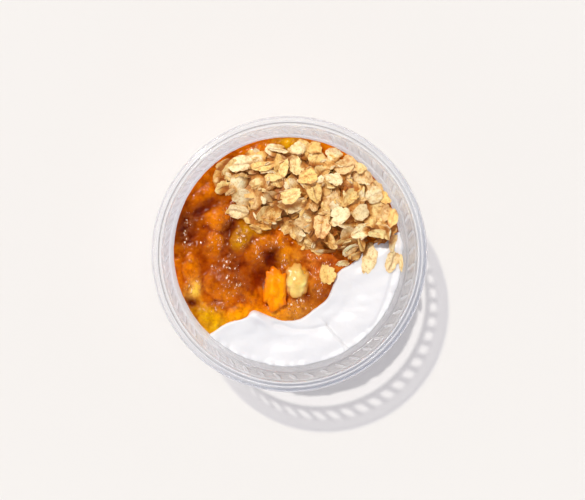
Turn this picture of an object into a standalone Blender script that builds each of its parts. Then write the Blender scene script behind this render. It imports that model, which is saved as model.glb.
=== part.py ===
"""Yogurt parfait in a clear disposable cup: cup, yogurt, fruit compote,
twelve fruit chunks half sunk in the compote, and a heap of toasted oats.
Units are metres, +Z is up, the cup stands on z = 0 with its axis on Z."""
import math
import random

import bmesh
import bpy
from mathutils import Vector, noise
from mathutils.geometry import delaunay_2d_cdt

for old in list(bpy.data.objects):
    bpy.data.objects.remove(old, do_unlink=True)

MM = 0.001
GAP = 0.3 * MM              # air left between pieces that touch

# ---------------------------------------------------------------- cup sizes
CUP_HEIGHT = 60.0 * MM
RIM_RADIUS = 58.5 * MM
BASE_RADIUS = 42.6 * MM     # middle of the wall, just above the foot corner
FOOT_CORNER = 1.6 * MM
WALL = 0.6 * MM
LEDGE_Z = 48.0 * MM         # top of the smooth wall
LEDGE_RADIUS = 50.9 * MM
BAND_LOW_Z = 49.2 * MM      # ribbed band
BAND_LOW_RADIUS = 52.0 * MM
BAND_TOP_Z = 57.0 * MM
BAND_TOP_RADIUS = 53.4 * MM
RIB_COUNT = 48
RIB_DEPTH = 0.6 * MM
RIB_TWIST = math.radians(3.4)
LIP_DROP = 3.2 * MM         # how far the outer skirt of the lip hangs down
SEGMENTS = 2 * RIB_COUNT    # one ridge and one valley a rib

# --------------------------------------------------------------- food sizes
FILL_Z = 42.2 * MM          # level of the food on the axis
FILL_RISE_X = -0.03         # the fill leans: lower toward +X ...
FILL_RISE_Y = 0.10          # ... and higher toward +Y
COMPOTE_FLOOR_Z = 34.0 * MM
YOGURT_DROP = 1.0 * MM      # open yogurt lies this much below the fill plane
CREST_HEIGHT = 4.2 * MM     # yogurt stands up where it meets the compote
CREST_REACH = 6.5 * MM
WALL_RISE = 4.6 * MM         # yogurt stands higher by the wall toward +X, -Y
HEAP_HEIGHT = 7.6 * MM
HEAP_EDGE = 1.6 * MM
HEAP_REACH = 13.0 * MM      # distance from its edge at which the heap is full
REF_Z = 42.0 * MM           # level at which the outlines below are given

# Edge between the compote and the open yogurt, from the wall at the lower
# left round to the wall at the right (millimetres at REF_Z).
COMPOTE_EDGE = [(-26.8, -31.0), (-18.1, -28.2), (-15.3, -25.6), (-9.8, -27.3),
                (-2.8, -29.8), (5.5, -29.2), (12.3, -24.4), (17.8, -20.0),
                (20.8, -12.7), (23.0, -7.8), (28.6, -4.6), (35.0, 1.6),
                (42.0, 6.6)]
EDGE_START = math.radians(-134.0)   # where the edge leaves the wall
EDGE_END = math.radians(10.5)       # where it meets the wall again

# Outline of the oat heap (millimetres), clockwise from its left tip.
HEAP_EDGE_POINTS = [(-33.5, 27.5), (-27.5, 38.5), (-15.0, 43.6), (-2.0, 45.6),
                    (9.0, 46.8), (19.0, 43.0), (30.0, 39.4), (38.5, 31.2),
                    (44.0, 22.0), (48.0, 11.0), (47.0, 4.2), (38.5, 3.8),
                    (33.2, -2.6), (27.2, -4.2), (22.0, 1.4), (14.5, 1.0),
                    (6.5, 0.4), (1.8, 6.4), (-4.2, 10.4), (-11.5, 9.8),
                    (-17.0, 14.0), (-24.5, 16.8), (-28.5, 19.6), (-24.0, 24.0)]

# Fruit chunks: name, x, y, length, width, height, turn (deg), lift above the
# compote (all mm), squareness 0..1, finer mesh or not.
CHUNKS = [
    ("fruit_chunk_pale", 3.6, -12.0, 13.6, 9.6, 8.4, 82, 1.6, 0.45, True),
    ("fruit_chunk_orange", -5.6, -14.6, 16.0, 8.6, 7.6, 78, 1.2, 0.6, True),
    ("fruit_chunk_front", 1.6, -23.6, 16.5, 9.6, 7.6, 8, 0.8, 0.3, False),
    ("fruit_chunk_right", 14.2, -11.4, 16.0, 9.8, 7.0, 66, 0.2, 0.3, False),
    ("fruit_chunk_low_left", -34.6, -25.6, 13.0, 10.6, 7.4, -38, 0.8, 0.5, False),
    ("fruit_chunk_low", -22.6, -25.2, 11.4, 7.6, 6.8, 14, 0.4, 0.4, False),
    ("fruit_chunk_left", -42.4, -9.6, 15.4, 8.6, 7.4, 96, 0.8, 0.5, False),
    ("fruit_chunk_big", -27.4, -14.4, 17.4, 13.0, 8.8, -24, 1.2, 0.3, True),
    ("fruit_chunk_dome", -31.0, 14.2, 11.6, 10.6, 8.0, 40, 1.2, 0.2, False),
    ("fruit_chunk_side", -33.0, 2.6, 11.0, 9.6, 7.4, 70, 0.8, 0.3, False),
    ("fruit_chunk_middle", -20.2, 3.6, 12.4, 10.2, 7.6, 64, 1.0, 0.35, False),
    ("fruit_chunk_inner", -8.0, 1.4, 11.6, 9.4, 7.0, 10, 0.6, 0.35, False),
]

# ---------------------------------------------------------------- materials


def material(name, rgb, rough, alpha=1.0):
    mat = bpy.data.materials.new(name)
    mat.use_nodes = True
    bsdf = mat.node_tree.nodes["Principled BSDF"]
    bsdf.inputs["Base Color"].default_value = (*rgb, 1.0)
    bsdf.inputs["Roughness"].default_value = rough
    bsdf.inputs["Alpha"].default_value = alpha
    mat.diffuse_color = (*rgb, alpha)
    return mat


def add_object(name, bm, mat, smooth):
    bmesh.ops.recalc_face_normals(bm, faces=bm.faces)
    mesh = bpy.data.meshes.new(name)
    bm.to_mesh(mesh)
    bm.free()
    for poly in mesh.polygons:
        poly.use_smooth = smooth
    obj = bpy.data.objects.new(name, mesh)
    bpy.context.collection.objects.link(obj)
    obj.data.materials.append(mat)
    return obj


def subtract(target, cutter):
    mod = target.modifiers.new("cut_" + cutter.name, "BOOLEAN")
    mod.operation = "DIFFERENCE"
    mod.solver = "EXACT"
    mod.object = cutter
    cutter.hide_render = True
    cutter.display_type = "WIRE"
    bpy.context.view_layer.update()
    graph = bpy.context.evaluated_depsgraph_get()
    mesh = bpy.data.meshes.new_from_object(target.evaluated_get(graph))
    target.modifiers.clear()
    mats = [m for m in target.data.materials]
    target.data = mesh
    mesh.materials.clear()
    for m in mats:
        mesh.materials.append(m)


# ---------------------------------------------------------------------- cup
def cup_path():
    """Middle line of the wall from the axis out to the end of the lip."""
    half = WALL / 2
    return [(0.0, half), (BASE_RADIUS - 1.6 * MM, half),
            (BASE_RADIUS, FOOT_CORNER),
            (LEDGE_RADIUS, LEDGE_Z),
            (BAND_LOW_RADIUS, BAND_LOW_Z),
            (BAND_LOW_RADIUS * 0.7 + BAND_TOP_RADIUS * 0.3,
             BAND_LOW_Z + 1.4 * MM),
            (BAND_LOW_RADIUS * 0.2 + BAND_TOP_RADIUS * 0.8,
             BAND_TOP_Z - 1.4 * MM),
            (BAND_TOP_RADIUS, BAND_TOP_Z),
            (BAND_TOP_RADIUS + 1.2 * MM, CUP_HEIGHT - 1.0 * MM),
            (RIM_RADIUS - 2.6 * MM, CUP_HEIGHT - half),
            (RIM_RADIUS - 0.9 * MM, CUP_HEIGHT - 0.9 * MM),
            (RIM_RADIUS - half, CUP_HEIGHT - LIP_DROP)]


RIBBED = {5: 1.0, 6: 1.0}


def offset_path(path, dist):
    out = []
    for i, (r, z) in enumerate(path):
        a = path[max(i - 1, 0)]
        b = path[min(i + 1, len(path) - 1)]
        tr, tz = b[0] - a[0], b[1] - a[1]
        n = math.hypot(tr, tz)
        # for inner corners keep the wall thickness by mitring
        nr, nz = tz / n, -tr / n
        k = 1.0
        if 0 < i < len(path) - 1:
            ux, uz = r - a[0], z - a[1]
            m = math.hypot(ux, uz)
            k = 1.0 / max(0.75, nr * uz / m - nz * ux / m)
        out.append((r + nr * dist * k, z + nz * dist * k))
    return out


def build_cup(mat):
    path = cup_path()
    outer = offset_path(path, WALL / 2)
    inner = offset_path(path, -WALL / 2)
    outer[0] = (0.0, 0.0)
    outer[1] = (outer[1][0], 0.0)
    inner[0] = (0.0, WALL)
    inner[1] = (inner[1][0], WALL)
    # bring the lip's outside to the stated height and radius exactly
    both = outer + inner
    lift = CUP_HEIGHT - max(z for _, z in both)
    shift = RIM_RADIUS - max(r for r, _ in both)
    bm = bmesh.new()
    rings = []
    for side, prof in (("out", outer), ("in", inner)):
        for i, (r, z) in enumerate(prof):
            if i == 0:
                rings.append([bm.verts.new((0, 0, z))])
                continue
            if i >= 8:
                z += lift
                r += shift
            t = min(max((z - BAND_LOW_Z) / (BAND_TOP_Z - BAND_LOW_Z), 0), 1)
            twist = RIB_TWIST * t
            ring = []
            for k in range(SEGMENTS):
                a = 2 * math.pi * k / SEGMENTS + twist
                rr = r + RIBBED.get(i, 0.0) * RIB_DEPTH * (0.5 if k % 2 else -0.5)
                ring.append(bm.verts.new((rr * math.cos(a), rr * math.sin(a), z)))
            rings.append(ring)
    n = len(outer)
    order = list(range(n)) + [n + n - 1 - j for j in range(n)]
    for i, j in zip(order[:-1], order[1:]):
        ra, rb = rings[i], rings[j]
        for k in range(SEGMENTS):
            m = (k + 1) % SEGMENTS
            if len(ra) == 1:
                bm.faces.new((ra[0], rb[k], rb[m]))
            elif len(rb) == 1:
                bm.faces.new((rb[0], ra[k], ra[m]))
            else:
                bm.faces.new((ra[k], rb[k], rb[m], ra[m]))
    return add_object("cup", bm, mat, True)


def inner_radius(z):
    """Inside radius of the smooth wall, and of the band above it."""
    slope = (LEDGE_RADIUS - BASE_RADIUS) / (LEDGE_Z - FOOT_CORNER)
    half = WALL / 2 / math.cos(math.atan(slope))
    if z <= LEDGE_Z:
        return BASE_RADIUS + slope * (z - FOOT_CORNER) - half
    return LEDGE_RADIUS - half


def fit_radius(z):
    return (inner_radius(z) - GAP) * 0.9995


REF_R = fit_radius(REF_Z)


# ------------------------------------------------------------------ outlines
def spline(points, per_span):
    """Catmull-Rom curve through the points, ends included."""
    pts = [points[0]] + list(points) + [points[-1]]
    out = []
    for i in range(1, len(pts) - 2):
        p0, p1, p2, p3 = pts[i - 1:i + 3]
        for s in range(per_span):
            t = s / per_span
            out.append(tuple(0.5 * (2 * p1[c] + (p2[c] - p0[c]) * t
                       + (2 * p0[c] - 5 * p1[c] + 4 * p2[c] - p3[c]) * t * t
                       + (3 * p1[c] - p0[c] - 3 * p2[c] + p3[c]) * t ** 3)
                             for c in (0, 1)))
    out.append(tuple(points[-1]))
    return out


def wall_point(angle, radius=None):
    r = REF_R if radius is None else radius
    return (r * math.cos(angle), r * math.sin(angle))


EDGE_CURVE = spline([wall_point(EDGE_START)]
                    + [(x * MM, y * MM) for x, y in COMPOTE_EDGE]
                    + [wall_point(EDGE_END)], 3)


def compote_loop(grow=0.0, reach=1.0):
    """Closed outline of the compote; grow moves the free edge outward."""
    curve = []
    n = len(EDGE_CURVE)
    for i, (x, y) in enumerate(EDGE_CURVE):
        a, b = EDGE_CURVE[max(i - 1, 0)], EDGE_CURVE[min(i + 1, n - 1)]
        tx, ty = b[0] - a[0], b[1] - a[1]
        m = math.hypot(tx, ty)
        curve.append((x + ty / m * grow, y - tx / m * grow))
    if reach > 1.0:
        # extend both ends straight through the wall
        curve[0] = (curve[0][0] * reach, curve[0][1] * reach)
        curve[-1] = (curve[-1][0] * reach, curve[-1][1] * reach)
    a0 = math.atan2(curve[-1][1], curve[-1][0])
    a1 = math.atan2(curve[0][1], curve[0][0]) + 2 * math.pi
    steps = 44
    arc = [wall_point(a0 + (a1 - a0) * s / steps, REF_R * reach)
           for s in range(1, steps)]
    return curve + arc


HEAP_LOOP = spline([(x * MM, y * MM) for x, y in HEAP_EDGE_POINTS]
                   + [(HEAP_EDGE_POINTS[0][0] * MM,
                       HEAP_EDGE_POINTS[0][1] * MM)], 2)[:-1]


def inside(p, loop):
    x, y = p
    hit = False
    for i in range(len(loop)):
        x1, y1 = loop[i]
        x2, y2 = loop[i - 1]
        if (y1 > y) != (y2 > y) and x < (x2 - x1) * (y - y1) / (y2 - y1) + x1:
            hit = not hit
    return hit


def distance(p, line, closed=False):
    best = 1.0
    count = len(line)
    for i in range(0 if closed else 1, count):
        ax, ay = line[i - 1]
        bx, by = line[i]
        dx, dy = bx - ax, by - ay
        t = ((p[0] - ax) * dx + (p[1] - ay) * dy) / max(dx * dx + dy * dy, 1e-12)
        t = min(max(t, 0.0), 1.0)
        best = min(best, math.hypot(p[0] - ax - t * dx, p[1] - ay - t * dy))
    return best


def ease(t):
    t = min(max(t, 0.0), 1.0)
    return t * t * (3 - 2 * t)


# ------------------------------------------------------------ food surfaces
def fill(x, y):
    return FILL_Z + FILL_RISE_X * x + FILL_RISE_Y * y


def clear_of_heap(x, y):
    """0 under the oats and just round them, 1 well away from them."""
    if inside((x, y), HEAP_LOOP):
        return 0.0
    return ease((distance((x, y), HEAP_LOOP, True) - 2.4 * MM) / (3.0 * MM))


def bump(x, y, cx, cy, height, reach):
    d = math.hypot(x - cx * MM, y - cy * MM) / (reach * MM)
    return height * MM * math.exp(-d * d)


def crease(x, y, line, depth, width):
    d = distance((x, y), [(a * MM, b * MM) for a, b in line]) / (width * MM)
    return -depth * MM * math.exp(-d * d)


def compote_top(x, y):
    h = bump(x, y, -11.4, -7.6, -3.6, 5.5)      # deep hollow in the middle
    h += bump(x, y, -42.0, 11.0, -2.2, 5.0)     # hollow by the left wall
    h += bump(x, y, -24.0, 10.4, -1.4, 3.6)
    h += bump(x, y, -38.6, -19.4, -1.6, 3.0)
    h += bump(x, y, -27.0, -4.6, -1.2, 4.5)
    h += bump(x, y, -1.0, -5.0, 0.8, 4.0)
    h += bump(x, y, 20.0, -6.5, 0.8, 5.0)
    h += 0.9 * MM * noise.noise(Vector((x, y, 0.0)) * 190.0)
    # the compote sinks a little toward the yogurt that holds it
    h -= 1.2 * MM * (1 - ease(distance((x, y), EDGE_CURVE) / (5 * MM)))
    return fill(x, y) + h * clear_of_heap(x, y)


def yogurt_top(x, y):
    d = distance((x, y), EDGE_CURVE)
    h = -YOGURT_DROP
    h += CREST_HEIGHT * (1 - ease(d / CREST_REACH)) * 0.62
    h += bump(x, y, -14.6, -27.6, 2.0, 3.4)
    h += bump(x, y, 21.0, -16.0, 1.2, 5.0)
    h += bump(x, y, 29.0, -12.0, 0.8, 6.0)
    h += crease(x, y, [(-2.5, -31.4), (5.5, -32.2), (13.0, -29.6),
                       (20.0, -27.0)], 1.1, 1.6)
    h += crease(x, y, [(19.0, -31.0), (22.0, -36.0), (24.0, -41.0)], 1.0, 1.5)
    h += bump(x, y, -8.0, -38.0, -0.8, 7.0)
    h += bump(x, y, 33.0, -27.0, -0.7, 7.0)
    r = math.hypot(x, y)
    h += 0.9 * MM * ease((r - 45.5 * MM) / (3.0 * MM))   # climbs the wall
    toward = max(0.0, (0.66 * x - 0.75 * y) / max(r, 1e-6))
    h += (WALL_RISE * toward * ease((r - 22.0 * MM) / (25.0 * MM))
          * ease(d / (6.0 * MM)))
    return fill(x, y) + h * clear_of_heap(x, y)


def heap_top(x, y):
    d = distance((x, y), HEAP_LOOP, True)
    lean = 1.0 + 0.004 * (x - y * 0.3) / MM
    h = HEAP_EDGE + (HEAP_HEIGHT - HEAP_EDGE) * ease(d / HEAP_REACH) ** 0.8 * lean
    h += 0.9 * MM * noise.noise(Vector((x, y, 0.004)) * 160.0) * ease(d / (2 * MM))
    h += 0.7 * MM * noise.noise(Vector((x, y, 0.002)) * 330.0) * ease(d / (2 * MM))
    return fill(x, y) + max(h, 0.9 * MM)


# ------------------------------------------------------------------ solids
def on_wall_scale(x, y, fn):
    """Height fn at (x, y) after the point is scaled to the wall there."""
    k = 1.0
    z = REF_Z
    for _ in range(4):
        z = fn(x * k, y * k)
        k = fit_radius(z) / REF_R
    return Vector((x * k, y * k, z))


def plain(x, y, fn):
    return Vector((x, y, fn(x, y)))


def layer(name, loop, top_fn, low_fn, step, mat, low_step=None,
          place=on_wall_scale, low_extra=()):
    """Solid between two height fields inside a closed outline."""
    def field(fn, pitch):
        pts = [Vector(p) for p in loop]
        m = len(pts)
        if fn is low_fn:
            pts += [Vector(p) for p in low_extra]
        xs = [p[0] for p in loop]
        ys = [p[1] for p in loop]
        row = 0
        y = min(ys) + pitch / 2
        while y < max(ys):
            x = min(xs) + (pitch / 2 if row % 2 else 0.0)
            while x < max(xs):
                if inside((x, y), loop) and distance((x, y), loop, True) > pitch * 0.55:
                    pts.append(Vector((x, y)))
                x += pitch
            y += pitch * 0.866
            row += 1
        out = delaunay_2d_cdt(pts, [(i, (i + 1) % m) for i in range(m)], [], 1, 1e-7)
        return out[0], out[2], m

    bm = bmesh.new()
    edges = []
    for fn, pitch, flip in ((top_fn, step, False), (low_fn, low_step or step, True)):
        pts, tris, m = field(fn, pitch)
        verts = [bm.verts.new(place(p[0], p[1], fn)) for p in pts]
        for tri in tris:
            vs = [verts[i] for i in (reversed(tri) if flip else tri)]
            bm.faces.new(vs)
        edges.append(verts[:m])
    top, low = edges
    for i in range(len(top)):
        j = (i + 1) % len(top)
        bm.faces.new((top[i], low[i], low[j], top[j]))
    return add_object(name, bm, mat, False)


def chunk(spec, mat, grow=0.0):
    (name, cx, cy, length, width, height, turn, lift, square, fine) = spec
    seed = sum(ord(c) for c in name)
    rng = random.Random(seed)
    shift = Vector((rng.uniform(-9, 9), rng.uniform(-9, 9), rng.uniform(-9, 9)))
    bm = bmesh.new()
    bmesh.ops.create_icosphere(bm, subdivisions=3 if fine else 2, radius=1.0)
    power = 1.0 - 0.55 * square
    cx, cy = cx * MM, cy * MM
    cz = compote_top(cx, cy) + (lift - 0.12 * height) * MM
    ca, sa = math.cos(math.radians(turn)), math.sin(math.radians(turn))
    for v in bm.verts:
        p = Vector([math.copysign(abs(c) ** power, c) for c in v.co])
        wob = 1.0 + 0.26 * noise.noise(v.co * 1.6 + shift)
        p = Vector((p.x * length / 2, p.y * width / 2, p.z * height / 2)) * MM * wob
        p.z = max(p.z, -0.42 * height * MM)
        v.co = Vector((p.x * ca - p.y * sa + cx, p.x * sa + p.y * ca + cy, p.z + cz))
    for v in bm.verts:                      # stay inside the wall
        r = math.hypot(v.co.x, v.co.y)
        limit = fit_radius(v.co.z)
        if r > limit:
            v.co.x *= limit / r
            v.co.y *= limit / r
        low = COMPOTE_FLOOR_Z + 1.2 * MM
        v.co.z = max(v.co.z, low)
    bmesh.ops.recalc_face_normals(bm, faces=bm.faces)
    if grow:
        bm.normal_update()
        moved = [v.co + v.normal * grow for v in bm.verts]
        for v, co in zip(bm.verts, moved):
            v.co = co
    return add_object(name + ("_space" if grow else ""), bm, mat, True)


clear = material("clear_plastic", (0.93, 0.95, 0.96), 0.06, 0.25)
white = material("yogurt_white", (0.93, 0.92, 0.89), 0.35)
amber = material("compote_amber", (0.50, 0.16, 0.015), 0.15)
toast = material("toasted_oats", (0.66, 0.42, 0.19), 0.75)
spare = material("space", (0.5, 0.5, 0.5), 0.5)

build_cup(clear)

# yogurt: fills the cup from its floor, its top open at the lower right
def yogurt_low(x, y):
    """Flat on the cup's floor, and lifted over its foot corner."""
    r = math.hypot(x, y) / fit_radius(2 * MM)
    return WALL + GAP + 2.2 * MM * min(max((r - 0.935) / 0.05, 0.0), 1.0)


full = [wall_point(2 * math.pi * k / 72) for k in range(72)]
foot = [wall_point(2 * math.pi * k / 36, REF_R * 0.93) for k in range(36)]
yogurt = layer("yogurt", full, yogurt_top, yogurt_low, 4.0 * MM, white,
               200 * MM, low_extra=foot)
compote = layer("compote", compote_loop(), compote_top,
                lambda x, y: COMPOTE_FLOOR_Z, 4.4 * MM, amber, 14 * MM)
hollow = layer("compote_space", compote_loop(GAP * 1.1, 1.06),
               lambda x, y: CUP_HEIGHT + 5 * MM,
               lambda x, y: COMPOTE_FLOOR_Z - GAP, 12 * MM, spare, None, plain)
oats = layer("oats", HEAP_LOOP, heap_top, lambda x, y: fill(x, y) + GAP,
             3.7 * MM, toast, 14 * MM, plain)
subtract(yogurt, hollow)

TINTS = {"fruit_chunk_pale": (0.87, 0.66, 0.22),
         "fruit_chunk_orange": (0.93, 0.36, 0.01),
         "fruit_chunk_low_left": (0.72, 0.36, 0.01),
         "fruit_chunk_middle": (0.55, 0.25, 0.01)}
made, spaces = [], []
for spec in CHUNKS:
    tint = TINTS.get(spec[0], (0.62, 0.25, 0.02))
    body = chunk(spec, material(spec[0] + "_skin", tint, 0.2))
    for other in spaces:
        subtract(body, other)
    space = chunk(spec, spare, GAP * 1.3)
    for target in (compote, yogurt, oats):
        subtract(target, space)
    made.append(body)
    spaces.append(space)

for cutter in spaces + [hollow]:
    bpy.data.objects.remove(cutter, do_unlink=True)
for obj in bpy.data.objects:
    if obj.type == "MESH" and obj.name not in ("cup",):
        bm = bmesh.new()
        bm.from_mesh(obj.data)
        bmesh.ops.remove_doubles(bm, verts=bm.verts, dist=0.00001)
        bmesh.ops.dissolve_degenerate(bm, edges=bm.edges, dist=0.00002)
        bmesh.ops.triangulate(bm, faces=bm.faces)
        bmesh.ops.recalc_face_normals(bm, faces=bm.faces)
        bm.to_mesh(obj.data)
        bm.free()
        for poly in obj.data.polygons:
            poly.use_smooth = obj.name.startswith("fruit_chunk")
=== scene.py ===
import math

import bpy
import numpy as np
from mathutils import Matrix, Vector


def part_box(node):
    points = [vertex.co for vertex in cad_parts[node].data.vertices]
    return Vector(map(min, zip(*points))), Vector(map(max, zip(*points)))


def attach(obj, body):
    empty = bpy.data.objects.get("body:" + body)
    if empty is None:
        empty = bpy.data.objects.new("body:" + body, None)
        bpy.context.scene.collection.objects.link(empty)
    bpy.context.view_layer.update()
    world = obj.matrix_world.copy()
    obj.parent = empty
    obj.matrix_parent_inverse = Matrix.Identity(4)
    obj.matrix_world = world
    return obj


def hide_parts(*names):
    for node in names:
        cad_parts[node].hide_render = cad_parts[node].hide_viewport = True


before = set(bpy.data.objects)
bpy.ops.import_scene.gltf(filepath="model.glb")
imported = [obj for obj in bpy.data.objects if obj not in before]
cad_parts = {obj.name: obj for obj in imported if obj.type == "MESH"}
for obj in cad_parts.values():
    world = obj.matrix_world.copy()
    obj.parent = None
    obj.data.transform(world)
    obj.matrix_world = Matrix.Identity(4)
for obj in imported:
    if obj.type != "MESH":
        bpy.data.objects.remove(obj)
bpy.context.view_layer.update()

MM = 0.001
RNG = np.random.RandomState(7)

# --------------------------------------------------------------------------
# sizes taken from the frame
# --------------------------------------------------------------------------
CUP_LO, CUP_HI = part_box("cup")
YOG_LO, YOG_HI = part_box("yogurt")
COM_LO, COM_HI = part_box("compote")
OAT_LO, OAT_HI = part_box("oats")
RIM_R = (CUP_HI.x - CUP_LO.x) / 2
CUP_H = CUP_HI.z - CUP_LO.z
CX, CY = (CUP_HI.x + CUP_LO.x) / 2, (CUP_HI.y + CUP_LO.y) / 2
COMPOTE_FLOOR = COM_LO.z
WALL = 0.55 * MM

BASE_R = RIM_R - 15.9 * MM
LEDGE_R, LEDGE_Z = RIM_R - 7.6 * MM, 0.8 * CUP_H
BAND_LOW_R, BAND_LOW_Z = RIM_R - 6.5 * MM, 0.82 * CUP_H
BAND_TOP_R, BAND_TOP_Z = RIM_R - 5.1 * MM, 0.95 * CUP_H
RIBS = 48
RIB_TWIST = math.radians(3.4)


def inner_radius(z):
    """Inside radius of the smooth, tapering wall."""
    z = np.asarray(z, float)
    slope = (LEDGE_R - BASE_R) / (LEDGE_Z - 1.6 * MM)
    r = BASE_R + slope * (z - 1.6 * MM) - 0.3 * MM / math.cos(math.atan(slope))
    top = LEDGE_R - 0.3 * MM
    return np.where(z <= LEDGE_Z, r, top + 0.9 * (np.minimum(z, BAND_LOW_Z) - LEDGE_Z))


# --------------------------------------------------------------------------
# small tools
# --------------------------------------------------------------------------
def hash3(ix, iy, iz, seed):
    h = (ix * 374761393 + iy * 668265263 + iz * 2147483647 + seed * 974634777) & 0xFFFFFFFF
    h = ((h ^ (h >> 13)) * 1274126177) & 0xFFFFFFFF
    h = (h ^ (h >> 16)) & 0xFFFFFFFF
    return h


def gnoise(x, y, z, seed=0):
    """Gradient noise, about -1..1, for arrays of points."""
    x, y, z = np.broadcast_arrays(np.asarray(x, float), np.asarray(y, float), np.asarray(z, float))
    x0, y0, z0 = np.floor(x).astype(np.int64), np.floor(y).astype(np.int64), np.floor(z).astype(np.int64)
    fx, fy, fz = x - x0, y - y0, z - z0
    ux, uy, uz = (f * f * f * (f * (f * 6 - 15) + 10) for f in (fx, fy, fz))
    out = 0.0
    for dx in (0, 1):
        for dy in (0, 1):
            for dz in (0, 1):
                h = hash3(x0 + dx, y0 + dy, z0 + dz, seed)
                gx = (h & 255) / 127.5 - 1.0
                gy = ((h >> 8) & 255) / 127.5 - 1.0
                gz = ((h >> 16) & 255) / 127.5 - 1.0
                dot = gx * (fx - dx) + gy * (fy - dy) + gz * (fz - dz)
                w = (ux if dx else 1 - ux) * (uy if dy else 1 - uy) * (uz if dz else 1 - uz)
                out = out + w * dot
    return out * 1.3


def fractal(x, y, z, size, octaves=3, seed=0, gain=0.5):
    total, amp, f = 0.0, 1.0, 1.0 / size
    for k in range(octaves):
        total = total + amp * gnoise(x * f, y * f, z * f, seed + 17 * k)
        amp *= gain
        f *= 2.07
    return total


def ease(t):
    t = np.clip(t, 0.0, 1.0)
    return t * t * (3 - 2 * t)


def srgb(r, g, b):
    """0..255 display values to scene linear."""
    out = []
    for c in (r, g, b):
        c /= 255.0
        out.append(c / 12.92 if c <= 0.04045 else ((c + 0.055) / 1.055) ** 2.4)
    return np.array(out)


def signed_volume(verts, faces):
    a, b, c = [], [], []
    for f in faces:
        for i in range(1, len(f) - 1):
            a.append(f[0])
            b.append(f[i])
            c.append(f[i + 1])
    return float((verts[a] * np.cross(verts[b], verts[c])).sum() / 6)


def new_mesh(name, verts, faces, mat, smooth=True, attrs=None, closed=True):
    mesh = bpy.data.meshes.new(name)
    if isinstance(faces, np.ndarray):
        faces = faces.tolist()
    verts = np.asarray(verts, float)
    if closed and signed_volume(verts, faces) < 0:
        faces = [f[::-1] for f in faces]
    mesh.from_pydata(verts.tolist(), [], faces)
    mesh.validate(verbose=False)
    mesh.polygons.foreach_set("use_smooth", [smooth] * len(mesh.polygons))
    for key, val in (attrs or {}).items():
        val = np.asarray(val, np.float32)
        if val.ndim == 1:
            at = mesh.attributes.new(key, "FLOAT", "POINT")
            at.data.foreach_set("value", val)
        else:
            at = mesh.color_attributes.new(key, "FLOAT_COLOR", "POINT")
            rgba = np.ones((len(val), 4), np.float32)
            rgba[:, :3] = val
            at.data.foreach_set("color", rgba.ravel())
    mesh.update()
    ob = bpy.data.objects.new(name, mesh)
    bpy.context.scene.collection.objects.link(ob)
    ob.data.materials.append(mat)
    return ob


def segment_distance(x, y, pts, closed=False):
    """Distance of many points to a polyline."""
    pts = np.asarray(pts, float)
    best = np.full(np.shape(x), 1e9)
    n = len(pts)
    for i in range(0 if closed else 1, n):
        ax, ay = pts[i - 1]
        bx, by = pts[i]
        dx, dy = bx - ax, by - ay
        t = np.clip(((x - ax) * dx + (y - ay) * dy) / max(dx * dx + dy * dy, 1e-15), 0, 1)
        best = np.minimum(best, np.hypot(x - ax - t * dx, y - ay - t * dy))
    return best


def inside(x, y, loop):
    loop = np.asarray(loop, float)
    hit = np.zeros(np.shape(x), bool)
    for i in range(len(loop)):
        x1, y1 = loop[i]
        x2, y2 = loop[i - 1]
        if y1 == y2:
            continue
        cross = ((y1 > y) != (y2 > y)) & (x < (x2 - x1) * (y - y1) / (y2 - y1) + x1)
        hit ^= cross
    return hit


def spline(points, per_span):
    pts = [points[0]] + list(points) + [points[-1]]
    out = []
    for i in range(1, len(pts) - 2):
        p0, p1, p2, p3 = (np.array(p, float) for p in pts[i - 1:i + 3])
        for s in range(per_span):
            t = s / per_span
            out.append(0.5 * (2 * p1 + (p2 - p0) * t + (2 * p0 - 5 * p1 + 4 * p2 - p3) * t * t
                              + (3 * p1 - p0 - 3 * p2 + p3) * t ** 3))
    out.append(np.array(points[-1], float))
    return np.array(out)


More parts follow.
